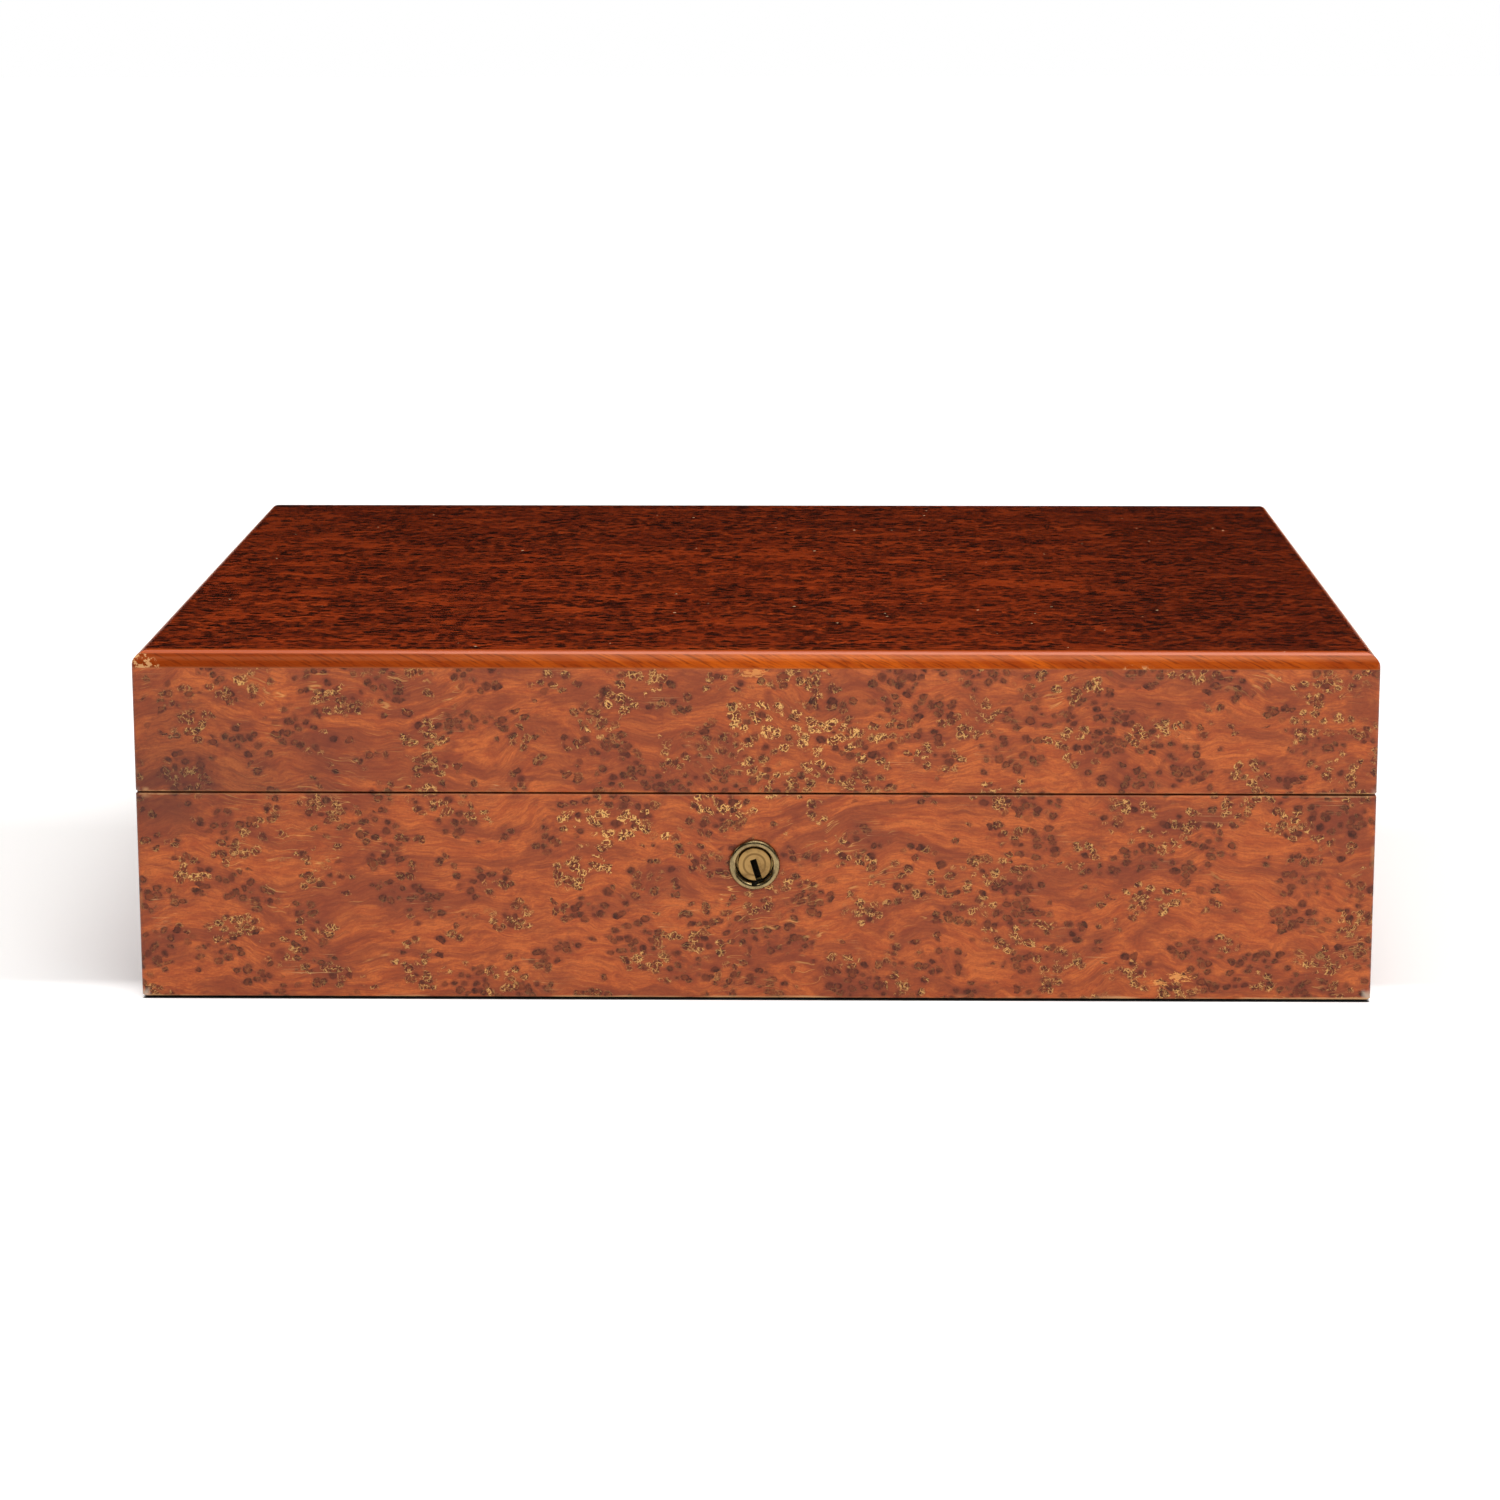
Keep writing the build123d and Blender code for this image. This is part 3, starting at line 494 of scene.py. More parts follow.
def makeWallBurl(name, span, wall):
    # burl on the outer faces and plain long grain on the rims and inner faces
    look = burlLook
    made, shader, place = newMaterial(name)
    cloud = noise(place, look["cloudScale"], 4, 0.6)
    gathered = patchAt(place, *wall["threads"], scaleAdd(cloud, 1.2, -0.6), 0.35)
    figure = useGroup(burlFigure, {
        "Vector": place,
        "Thread Amount": scaleAdd(gathered, look["threadExtra"], look["threadLeast"]),
        "Island Cover": times(gathered, look["coverExtra"]),
    })
    edge = useGroup(boxEdge, {"Vector": place, "Low": span[0], "High": span[1]})
    wear = useGroup(arrisWear, {
        "Vector": place, "Distance": edge["Distance"], "Width": look["wearWidth"],
    })["Wear"]
    marks = useGroup(finishMarks, {"Vector": place})

    # a darker patch round the front left corner, near the seam
    darkTone = patchAt(place, *wall["darkTone"], scaleAdd(cloud, 1.2, -0.1), 0.6)
    colour = tint(figure["Colour"], look["darkTone"], darkTone, look["darkToneAmount"])
    colour = tint(colour, look["scratch"], marks["Scratch"], look["scratchAmount"])
    dusty = remap(noise(place, look["dustScale"], 1), 0.5, 0.6, 0.0, look["dustAmount"])
    colour = tint(colour, look["dust"], marks["Speck"], dusty)
    rubbed = times(wear, remap(edge["Corner"], 0.02, 0.004, 0.3, 1.0))
    colour = tint(colour, look["wearColour"], rubbed, look["wearAmount"])

    # chalky corners low down, a rubbed foot line, and knocks
    height = split(place)[2]
    low = span[0][2]
    chalked = remap(scaleAdd(cloud, 0.006, edge["Corner"]), 0.0052, 0.0034)
    above, below = look["chalkHeights"]
    lowDown = remap(height, low + above, low + below, 0.0, wall["chalk"])
    colour = tint(colour, look["chalk"], chalked, lowDown)
    above, below = look["footHeights"]
    foot = remap(scaleAdd(cloud, 0.0012, height), low + above, low + below, 0.0, wall["foot"])
    patchy = remap(grainNoise(place, look["footPatches"]), 0.5, 0.58)
    colour = tint(colour, look["wearColour"], foot, patchy)
    splinter = grainNoise(place, look["splinter"], 3, 0.75, 1.0)
    for middle, reach, amount in wall["knocks"]:
        struck = patchAt(place, middle, reach, scaleAdd(splinter, 6.0, -2.8), 0.15)
        colour = tint(colour, look["struck"], struck, amount)

    across = turned(place, (0, 0, math.radians(90)))
    along = addNode("ShaderNodeMix", {0: edge["Side"], 4: place, 5: across}, data_type="VECTOR").outputs[1]
    long = grainNoise(along, look["rimGrain"], 4, 0.6, 0.4)
    pores = grainNoise(along, look["rimPores"], 2, 0.6)
    plain = tint(look["rimLight"], look["rimDark"], remap(long, 0.35, 0.65))
    plain = tint(plain, look["darkTone"], remap(pores, 0.5, 0.7), 0.4)
    within = remap(edge["Inset"], look["veneer"] - 0.00005, look["veneer"] + 0.00005)
    return finishMaterial(made, shader, {
        "Base Color": tint(colour, plain, within),
        "Roughness": scaleAdd(wear, 0.2, look["roughness"]),
        "Normal": bump(figure["Height"], *look["relief"]),
        "Specular IOR Level": look["specular"],
    })


topLook = {
    "figure": {
        "Eye Scale": 450.0,
        "Island Cover": 0.14,
        "Thread Amount": 0.3,
        "Light": srgb(194, 76, 25),
        "Middle": srgb(152, 49, 13),
        "Shade": srgb(96, 28, 10),
        "Eye": srgb(34, 10, 6),
        "Thread": srgb(170, 84, 36),
    },
    "cloud": (14, 22, 14),
    "fleck": srgb(34, 10, 6),
    "fleckScales": (205, 300, 0), "fleckGroups": (70, 110, 70),
    "shakeScale": 520, "fleckShake": (0.0034, 0.0026, 0),
    "deep": srgb(52, 18, 12),
    "deepAmount": 0.35, "paintedShadeBack": (0.04, 0.24), "deepRight": (0.08, 0.15),
    "bareAndHighlit": srgb(178, 72, 16),
    "bareHighlitWidth": 0.0052, "bareHighlitSide": 0.0026, "bareHighlitFade": 0.0008, "unevenScale": 220,
    "dust": srgb(236, 204, 160),
    "relief": (0.1, 0.00005),
    "polish": {"Roughness": 0.2, "Specular IOR Level": 0.5, "Specular Tint": (1.0, 0.6, 0.4, 1.0)},
}


def makeTopBurl():
    # darker, redder burl seen along the polish, with painted shade toward the back, and the strip's orange
    # along the arrises, partly rubbed bare and partly a painted highlight
    look = topLook
    made, shader, place = newMaterial("topBurl")
    figure = useGroup(burlFigure, {"Vector": turned(place, (math.radians(90), 0, 0)), **look["figure"]})
    marks = useGroup(finishMarks, {"Vector": place})
    across, depth = split(place)[:2]
    cloud = grainNoise(place, look["cloud"], 3, 0.6)

    # larger dark flecks in groups
    shake = noise(place, look["shakeScale"], 3, 0.65, output="Color")
    shaken = scaled(shifted(place, shake, look["fleckShake"]), look["fleckScales"])
    flecks = voronoi(shaken, 1.0, voronoi_dimensions="2D")
    chance = channels(flecks["Color"])
    group = scaleAdd(grainNoise(place, look["fleckGroups"]), 1.8, times(cloud, 1.3))
    amount = remap(scaleAdd(chance[0], 0.6, group), 1.75, 1.85)
    size = scaleAdd(chance[1], 0.3, 0.2)
    fleck = times(remap(minus(size, flecks["Distance"]), -0.02, 0.05), amount)
    colour = tint(figure["Colour"], look["fleck"], fleck, scaleAdd(chance[2], 0.25, 0.72))

    # darker toward the back as painted shade, and darker toward the right; along the arrises the strip's
    # orange, partly rubbed bare and partly a painted highlight
    # painted shade: darker toward the back of the top
    far = remap(scaleAdd(cloud, 0.12, depth), *look["paintedShadeBack"], 0.0, look["deepAmount"])
    colour = tint(colour, look["deep"], far)
    right = remap(scaleAdd(cloud, 0.05, across), *look["deepRight"], 0.0, look["deepAmount"])
    colour = tint(colour, look["deep"], right)
    uneven = noise(place, look["unevenScale"], 3, 0.6)
    fade = look["bareHighlitFade"]
    edge = lidSpan[0][1] + look["bareHighlitWidth"]
    # the strip's orange along the front and side arrises, partly rubbed bare wood and partly a painted
    # highlight
    rubbed = remap(scaleAdd(uneven, fade, depth), edge + fade, edge)
    side = lidSpan[1][0] - look["bareHighlitSide"]
    sideBareAndHighlit = remap(scaleAdd(uneven, -fade, unsigned(across)), side - fade, side)
    colour = tint(colour, look["bareAndHighlit"], larger(rubbed, sideBareAndHighlit))
    return finishMaterial(made, shader, {
        "Base Color": tint(colour, look["dust"], marks["Speck"]),
        "Normal": bump(figure["Height"], *look["relief"]),
        **look["polish"],
    })


stripLook = {
    "light": srgb(190, 84, 14),
    "dark": srgb(150, 56, 10),
    "deep": srgb(92, 30, 8),
    "endShade": srgb(126, 44, 10),
    "joint": srgb(140, 84, 54),
    "wornGoldSheen": srgb(228, 156, 66),
    "chip": srgb(232, 182, 124),
    "dust": srgb(220, 180, 140),
    "polish": {"Specular IOR Level": 0.4, "Specular Tint": (1.0, 0.56, 0.26, 1.0)},
    "roughness": 0.2, "relief": (0.08, 0.0001),
    "slant": 0.55, "grainAlong": 26, "grainAcross": 150, "fibre": (7.0, 9.0, 1.0),
    "endShadeLeft": (0.03, -0.14, 0.0, 0.85), "endShadeRight": (0.06, 0.12, 0.0, 0.4),
    "wornGoldSheenBehind": (0.003, 0.006), "wornGoldSheenOuter": (0.0028, 0.0014), "wornGoldSheenHeights": (0.0018, 0.0028),
    "jointHeights": (0.0004, 0.0001),
    "chipEnds": (0.13, 0.162, 0.0, 0.07), "chipScale": 60, "chipRagged": 620,
    "deepAmount": 0.6, "wornGoldSheenAmount": 0.8, "jointAmount": 0.5, "chipAmount": 0.6, "dustAmount": 0.8,
}


def makeStripWood():
    # slanting grain, darker toward both ends as painted shade, golden where the side strips show behind their
    # mitres as a painted highlight that is partly worn wood, chipped toward the ends
    look = stripLook
    made, shader, place = newMaterial("edgeStripWood")
    across, depth, height = split(place)
    along = plus(across, depth)
    slanted = scaleAdd(along, look["slant"], height)
    lying = joined(times(along, look["grainAlong"]), times(slanted, look["grainAcross"]))
    figure = noise(lying, 1.0, 4, 0.6, 0.6)
    fibre = grainNoise(lying, look["fibre"], 3, 0.65, 0.5)
    colour = tint(look["light"], look["dark"], remap(figure, 0.36, 0.66))
    # painted shade: the strip darker toward its left and right ends
    for shadeSpan in (look["endShadeLeft"], look["endShadeRight"]):
        colour = tint(colour, look["endShade"], remap(across, *shadeSpan))
    colour = tint(colour, look["deep"], remap(fibre, 0.5, 0.64), look["deepAmount"])
    low, front = lidStripLow[2], lidSpan[0][1]

    def risen(value, start, steps):
        return remap(value, start + steps[0], start + steps[1])

    aside = unsigned(across)
    outer = minus(lidSpan[1][0], aside)
    # painted highlight, partly worn wood: golden along the side strips' outer arrises
    wornSideSheen = times(remap(outer, *look["wornGoldSheenOuter"]), risen(depth, front, look["wornGoldSheenBehind"]))
    wornSideSheen = times(wornSideSheen, risen(height, low, look["wornGoldSheenHeights"]))
    colour = tint(colour, look["wornGoldSheen"], wornSideSheen, look["wornGoldSheenAmount"])
    joint = risen(height, low, look["jointHeights"])
    colour = tint(colour, look["joint"], joint, look["jointAmount"])
    ends = remap(aside, *look["chipEnds"])
    chipped = remap(plus(noise(place, look["chipScale"], 1), ends), 0.68, 0.72)
    chipped = times(chipped, remap(noise(place, look["chipRagged"], 3, 0.7), 0.5, 0.56))
    colour = tint(colour, look["chip"], chipped, look["chipAmount"])
    marks = useGroup(finishMarks, {"Vector": place})
    return finishMaterial(made, shader, {
        "Base Color": tint(colour, look["dust"], marks["Speck"], look["dustAmount"]),
        "Roughness": scaleAdd(joint, 0.3, look["roughness"]),
        "Normal": bump(fibre, *look["relief"]),
        **look["polish"],
    })


cedarLook = {
    "light": srgb(206, 150, 108),
    "dark": srgb(168, 104, 70),
    "pore": srgb(120, 70, 46),
    "band": (5, 60, 60), "pores": (60, 1100, 1100), "poreAmount": 0.6,
    "waveScale": 9, "wave": (0.01, 0.01, 0.01),
    "relief": (0.3, 0.0001),
    "finish": {"Roughness": 0.72, "Specular IOR Level": 0.3},
}


def makeCedar(name, turn, shift):
    made, shader, place = newMaterial(name)
    laid = turned(place, (0, 0, math.radians(turn)), shift)
    wavy = shifted(laid, noise(laid, cedarLook["waveScale"], 2, output="Color"), cedarLook["wave"])
    band = grainNoise(wavy, cedarLook["band"], 4, 0.6, 0.2)
    pores = grainNoise(wavy, cedarLook["pores"], 2, 0.6)
    colour = tint(cedarLook["light"], cedarLook["dark"], remap(band, 0.32, 0.68))
    return finishMaterial(made, shader, {
        "Base Color": tint(colour, cedarLook["pore"], remap(pores, 0.58, 0.72), cedarLook["poreAmount"]),
        "Normal": bump(pores, *cedarLook["relief"]),
        **cedarLook["finish"],
    })


metalLook = {
    "ring": {"colour": srgb(158, 138, 98), "tarnish": srgb(70, 57, 40), "roughness": 0.24},
    "plug": {"colour": srgb(164, 130, 80), "tarnish": srgb(92, 66, 38), "roughness": 0.34},
    "satin": {"colour": srgb(214, 180, 116), "tarnish": srgb(176, 138, 78), "roughness": 0.3},
    "brushed": (160, 2400, 2400), "brushedRound": 4000.0, "cloudScale": 240,
    "spread": 0.12, "relief": (0.2, 0.00002),
    "grooves": ((0.0029, 0.0004),), "grooveDepth": -4.0,
    "recessShade": srgb(14, 11, 9),
    "recessShadeAmount": 0.96, "recessShadeFade": 0.00025, "ringShadeStart": 0.0002, "plugShadeStart": 0.0001,
}


def makeMetal(name, look, shadeBehind=None, centre=None, grooves=()):
    # brushed straight, or round the centre given, and blackened behind a plane as painted shade in the keyway
    # and the gap round the plug
    made, shader, place = newMaterial(name)
    cloud = noise(place, metalLook["cloudScale"], 4, 0.65)
    if centre:
        away = split(vectorCalc("SUBTRACT", place, centre))
        out = calc("SQRT", plus(times(away[0], away[0]), times(away[2], away[2])))
        rings = joined(times(out, metalLook["brushedRound"]), times(cloud, 1.5))
        brushed = noise(rings, 1.0, 2, 0.6)
    else:
        brushed = grainNoise(place, metalLook["brushed"], 2, 0.6)
    grime = remap(scaleAdd(brushed, 0.3, times(cloud, 0.7)), 0.4, 0.75)
    relief = brushed
    for radius, width in grooves:
        dip = lineAt(out, radius, width, width * 0.3)
        grime = larger(grime, times(dip, 0.6))
        relief = scaleAdd(dip, metalLook["grooveDepth"], relief)
    shade = tint(look["colour"], look["tarnish"], grime)
    dull = scaleAdd(grime, metalLook["spread"], look["roughness"])
    metal = 1.0
    if shadeBehind is not None:
        # painted shade: blackened behind the plug's face, in the keyway and the gap round the plug
        recessShade = remap(split(place)[1], shadeBehind, shadeBehind + metalLook["recessShadeFade"])
        shade = tint(shade, metalLook["recessShade"], recessShade, metalLook["recessShadeAmount"])
        dull = scaleAdd(recessShade, 0.5, dull, clamp=True)
        metal = scaleAdd(recessShade, -0.95, 1.0)
    return finishMaterial(made, shader, {
        "Base Color": shade,
        "Metallic": metal,
        "Roughness": dull,
        "Normal": bump(relief, *metalLook["relief"]),
    })


def makePlain(name, colour, roughness, grain=900.0, strength=0.15, depth=0.0001, shade=0.75):
    made, shader, place = newMaterial(name)
    speckle = noise(place, grain, 3, 0.6)
    darker = tuple(channel * shade for channel in colour[:3]) + (1.0,)
    return finishMaterial(made, shader, {
        "Base Color": tint(darker, colour, remap(speckle, 0.35, 0.65)),
        "Roughness": roughness,
        "Normal": bump(speckle, strength, depth),
    })


feltLook = {
    "light": srgb(26, 40, 32),
    "dark": srgb(15, 24, 20),
    "rubbed": srgb(50, 64, 52),
    "lint": srgb(120, 122, 106),
    "napScale": 1500, "cloudScale": 24,
    "hair": (90, 260, 90), "hairWidth": 0.006, "lintScale": 120,
    "roughness": 0.95, "relief": (0.6, 0.0003),
}


def makeFelt():
    # short nap, rubbed paler in clouds, with a little lint caught in it
    made, shader, place = newMaterial("greenBaize")
    nap = noise(place, feltLook["napScale"], 3, 0.6)
    cloud = noise(place, feltLook["cloudScale"], 4, 0.65)
    colour = tint(feltLook["dark"], feltLook["light"], remap(nap, 0.35, 0.65))
    colour = tint(colour, feltLook["rubbed"], remap(cloud, 0.45, 0.7, 0.0, 0.5))
    hair = lineAt(grainNoise(place, feltLook["hair"], 1, 0.5, 1.2), 0.5, feltLook["hairWidth"], 0.0)
    caught = remap(noise(place, feltLook["lintScale"], 1), 0.62, 0.7, 0.0, 0.5)
    return finishMaterial(made, shader, {
        "Base Color": tint(colour, feltLook["lint"], hair, caught),
        "Roughness": feltLook["roughness"],
        "Normal": bump(nap, *feltLook["relief"]),
    })


dialLook = {
    "sweep": 270.0,
    "ring": 0.0179, "ringWidth": 0.00012,
    "bandInner": 0.0144, "bandOuter": 0.015, "bandFrom": 65.0, "bandTo": 75.0,
    "card": srgb(240, 234, 216),
    "shade": srgb(222, 210, 184),
    "ink": srgb(28, 26, 26),
    "band": srgb(52, 122, 74),
    "rimward": (0.012, 0.022), "stippleScale": 900,
    "roughness": 0.55, "relief": (0.05, 0.00005),
}


def dialAngle(percent):
    # turned clockwise from the top, as read with the lid open
    return math.radians(dialLook["sweep"] * (percent / 100 - 0.5))


def makeDialCard(centre):
    # ivory card with a printed ring and a green band where the air is right
    made, shader, place = newMaterial("dialCard")
    spoke = split(vectorCalc("SUBTRACT", place, (centre[0], centre[1], 0)))
    out = calc("SQRT", plus(times(spoke[0], spoke[0]), times(spoke[1], spoke[1])))
    turn = calc("ARCTAN2", spoke[0], times(spoke[1], -1.0))

    def between(value, low, high):
        return times(calc("GREATER_THAN", value, low), calc("LESS_THAN", value, high))

    stipple = noise(place, dialLook["stippleScale"], 3, 0.6)
    # the card darker toward its rim
    rimward = remap(scaleAdd(stipple, 0.004, out), *dialLook["rimward"])
    colour = tint(dialLook["card"], dialLook["shade"], rimward)
    ring = lineAt(out, dialLook["ring"], dialLook["ringWidth"], dialLook["ringWidth"] * 0.6)
    colour = tint(colour, dialLook["ink"], ring)
    wide = between(out, dialLook["bandInner"], dialLook["bandOuter"])
    fair = between(turn, dialAngle(dialLook["bandFrom"]), dialAngle(dialLook["bandTo"]))
    return finishMaterial(made, shader, {
        "Base Color": tint(colour, dialLook["band"], wide, fair),
        "Roughness": dialLook["roughness"],
        "Normal": bump(stipple, *dialLook["relief"]),
    })


glassLook = {"Base Color": (0.98, 1.0, 0.99, 1.0), "Roughness": 0.03, "Transmission Weight": 1.0, "IOR": 1.45}


def makeGlass():
    made, shader, place = newMaterial("dialGlass")
    return finishMaterial(made, shader, glassLook)


baseBurl = makeWallBurl("baseBurl", baseSpan, baseWallLook)
lidBurl = makeWallBurl("lidBurl", lidSpan, lidWallLook)
topBurl = makeTopBurl()
stripWood = makeStripWood()
cedar = makeCedar("cedarAcross", 0, (0, 0, 0))
cedarDeep = makeCedar("cedarFrontToBack", 90, (0.3, 0.1, 0.2))
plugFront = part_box("lock_plug")[0][1]
keyCentre = middleOf("lock_ring")
ringBrass = makeMetal("keyRingBrass", metalLook["ring"], plugFront + metalLook["ringShadeStart"], keyCentre)
plugBrass = makeMetal("keyPlugBrass", metalLook["plug"], plugFront + metalLook["plugShadeStart"], keyCentre,
                      metalLook["grooves"])
satinBrass = makeMetal("satinBrass", metalLook["satin"])
coreWood = makePlain("coreBoard", srgb(150, 112, 80), 0.7)
baize = makeFelt()
dialCentre = middleOf("hygrometer_dial")
dialCard = makeDialCard(dialCentre)
dialInk = makePlain("dialInk", dialLook["ink"], 0.5)
needleLacquer = makePlain("needleLacquer", srgb(24, 24, 26), 0.35)
blackMoulding = makePlain("blackMoulding", srgb(30, 30, 30), 0.55, grain=2200.0, strength=0.3)
openFoam = makePlain("openFoam", srgb(64, 96, 70), 0.95, grain=1400.0, strength=1.0, depth=0.0008)
dialGlass = makeGlass()

finishOf = {
    "burl": None, "edge_wood": stripWood, "cedar": cedar, "core_wood": coreWood, "baize": baize,
    "aged_brass": ringBrass, "brass": satinBrass, "dial": dialCard, "lens": dialGlass,
    "needle": needleLacquer, "humidifier": blackMoulding, "pad": openFoam,
}
slotOf = {entry["node"]: entry["material_slot"] for entry in frame["record"]["subparts"]}
for name in slotOf:
    finish = finishOf[slotOf[name]]
    if name == "lid_top_veneer":
        finish = topBurl
    elif finish is None:
        finish = lidBurl if name.startswith("lid_") else baseBurl
    elif name == "lock_plug":
        finish = plugBrass
    elif finish is cedar and name.endswith(("left_liner", "right_liner", "divider")):
        finish = cedarDeep
    solid = frame["nodes"][name]
    solid.data.materials.clear()
    solid.data.materials.append(finish)
print("humidor: materials assigned")


# Pieces that the frame leaves to be made here

def addObject(name, data):
    made = bpy.data.objects.new(name, data)
    bpy.context.scene.collection.objects.link(made)
    return made


def addPiece(name, mesh, finish, body):
    piece = addObject(name, mesh)
    mesh.materials.clear()
    mesh.materials.append(finish)
    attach(piece, body)
    return piece


def meshFromShape(name, shape):
    mesh = bpy.data.meshes.new(name)
    bmesh.ops.recalc_face_normals(shape, faces=shape.faces)
    shape.to_mesh(mesh)
    shape.free()
    return mesh


def takeMesh(holder):
    # the holder's evaluated mesh, and the holder goes
    seen = bpy.context.evaluated_depsgraph_get()
    mesh = bpy.data.meshes.new_from_object(holder.evaluated_get(seen))
    bpy.data.objects.remove(holder)
    return mesh


baizeLook = {
    "corner": 0.003, "cornerSteps": 8, "pitch": 0.0015, "bevel": 0.0002,
    "ragged": 0.0003, "least": 0.3, "spread": 0.5, "foot": 0.4, "crown": 0.3, "seed": 7,
}


def makeBaizeSheet():
    # felt cut a little unevenly along its edges, pressed flat under the base
    low, high = [Vector(corner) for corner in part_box("baize_underlay")]
    corner, bevel = baizeLook["corner"], baizeLook["bevel"]
    outline = []
    middles = [
        (high.x - corner, high.y - corner, 0), (low.x + corner, high.y - corner, 90),
        (low.x + corner, low.y + corner, 180), (high.x - corner, low.y + corner, 270),
    ]
    for x, y, start in middles:
        for step in range(baizeLook["cornerSteps"] + 1):
            angle = math.radians(start + 90 * step / baizeLook["cornerSteps"])
            outline.append(Vector((x + corner * math.cos(angle), y + corner * math.sin(angle))))
    points = []
    for index, here in enumerate(outline):
        ahead = outline[(index + 1) % len(outline)]
        count = max(1, round((ahead - here).length / baizeLook["pitch"]))
        points += [here.lerp(ahead, step / count) for step in range(count)]
    chance = random.Random(baizeLook["seed"])
    shape = bmesh.new()
    rings = []
    for level, pull in ((low.z, baizeLook["foot"]), (low.z + bevel, 0.0),
                        (high.z - bevel, 0.0), (high.z, baizeLook["crown"])):
        ring = []
        for point in points:
            away = point.normalized()
            back = baizeLook["ragged"] * (baizeLook["least"] + pull + baizeLook["spread"] * chance.random())
            ring.append(shape.verts.new((point.x - away.x * back, point.y - away.y * back, level)))
        rings.append(ring)
    for lower, upper in zip(rings, rings[1:]):
        for index in range(len(lower)):
            after = (index + 1) % len(lower)
            shape.faces.new((lower[index], lower[after], upper[after], upper[index]))
    shape.faces.new(rings[0])
    shape.faces.new(rings[-1])
    sheet = addPiece("baizeSheet", meshFromShape("baizeSheet", shape), baize, "base")
    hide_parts("baize_underlay")


foamLook = {
    "steps": (56, 22, 8), "clear": 0.0003, "round": 0.18,
    "roundPower": 6, "cellScale": 900, "cells": 0.00035,
}


def makeFoamPad():
    # open foam block, softly rounded, with a pitted skin
    low, high = [Vector(corner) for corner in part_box("humidifier_pad")]
    middle, half = (low + high) / 2, (high - low) / 2 - Vector((foamLook["clear"],) * 3)
    shape = bmesh.new()
    steps, power = foamLook["steps"], foamLook["roundPower"]
    seen = {}

    def corner(place):
        # the block's grid point, drawn in toward its edges and pitted by cell noise
        if place not in seen:
            spot = Vector([2 * place[axis] / steps[axis] - 1 for axis in range(3)])
            point = Vector()
            for axis in range(3):
                outward = abs(spot[(axis + 1) % 3]) ** power + abs(spot[(axis + 2) % 3]) ** power
                point[axis] = spot[axis] * (1 - foamLook["round"] * outward / power) * half[axis]
            pit = noiseAt(point * foamLook["cellScale"]) * foamLook["cells"]
            seen[place] = shape.verts.new(middle + point * (1 - abs(pit) / half.z))
        return seen[place]

    for axis in range(3):
        first, second = (axis + 1) % 3, (axis + 2) % 3
        for side in (0, steps[axis]):
            for one in range(steps[first]):
                for two in range(steps[second]):
                    ring = []
                    for add, more in ((0, 0), (1, 0), (1, 1), (0, 1)):
                        place = [0, 0, 0]
                        place[axis], place[first], place[second] = side, one + add, two + more
                        ring.append(corner(tuple(place)))
                    shape.faces.new(ring)
    pad = addPiece("foamPad", meshFromShape("foamPad", shape), openFoam, "humidifier")
    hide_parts("humidifier_pad")


scaleLook = {
    "Fine Count": 51, "Fine Length": 0.0013, "Fine Width": 0.00016,
    "Main Count": 11, "Main Length": 0.0024, "Main Width": 0.0003,
    "Radius": 0.0176, "Thickness": 0.00003, "Sweep": math.radians(dialLook["sweep"]),
}
figuresLook = {"radius": 0.0126, "height": 0.0029, "step": 20}
# the print's middle height lies just below the card's underside
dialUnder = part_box("hygrometer_dial")[0][2]
printPlace = Vector((dialCentre[0], dialCentre[1], dialUnder - scaleLook["Thickness"] / 2))


def makeScaleTree():
    # tick marks set round an arc, a fine row and a main row
    tree = bpy.data.node_groups.new("dialTicks", "GeometryNodeTree")
    sizes = {name: "NodeSocketInt" if name.endswith("Count") else "NodeSocketFloat" for name in scaleLook}
    sizes.update({"Centre": "NodeSocketVector", "Ink": "NodeSocketMaterial"})
    for socketName, kind in sizes.items():
        tree.interface.new_socket(socketName, in_out="INPUT", socket_type=kind)
    tree.interface.new_socket("Geometry", in_out="OUTPUT", socket_type="NodeSocketGeometry")
    take = tree.nodes.new("NodeGroupInput").outputs
    rows = tree.nodes.new("GeometryNodeJoinGeometry")
    for row in ("Fine", "Main"):
        count, length, width = [take[row + " " + part] for part in ("Count", "Length", "Width")]
        posts = addNode("GeometryNodeMeshLine", {"Count": count, "Offset": (0, 0, 0)})
        bar = addNode("GeometryNodeMeshCube", {"Size": joined(width, length, take["Thickness"])})
        out = minus(times(length, 0.5), take["Radius"])
        moved = addNode("GeometryNodeTransform", {
            "Geometry": bar.outputs["Mesh"], "Translation": joined(y=out),
        })
        index = tree.nodes.new("GeometryNodeInputIndex").outputs[0]
        share = calc("DIVIDE", index, minus(count, 1.0))
        angle = times(minus(share, 0.5), take["Sweep"])
        placed = addNode("GeometryNodeInstanceOnPoints", {
            "Points": posts.outputs[0], "Instance": moved.outputs[0], "Rotation": joined(z=angle),
        })
        tree.links.new(placed.outputs[0], rows.inputs[0])
    seated = addNode("GeometryNodeTransform", {"Geometry": rows.outputs[0], "Translation": take["Centre"]})
    whole = addNode("GeometryNodeRealizeInstances", {0: seated.outputs[0]})
    inked = addNode("GeometryNodeSetMaterial", {"Geometry": whole.outputs[0], "Material": take["Ink"]})
    return finishGroup(tree.nodes.new("NodeGroupOutput"), {0: inked.outputs[0]})


def setInputs(modifier, tree, values):
    for item in tree.interface.items_tree:
        if item.item_type == "SOCKET" and item.in_out == "INPUT" and item.name in values:
            modifier[item.identifier] = values[item.name]


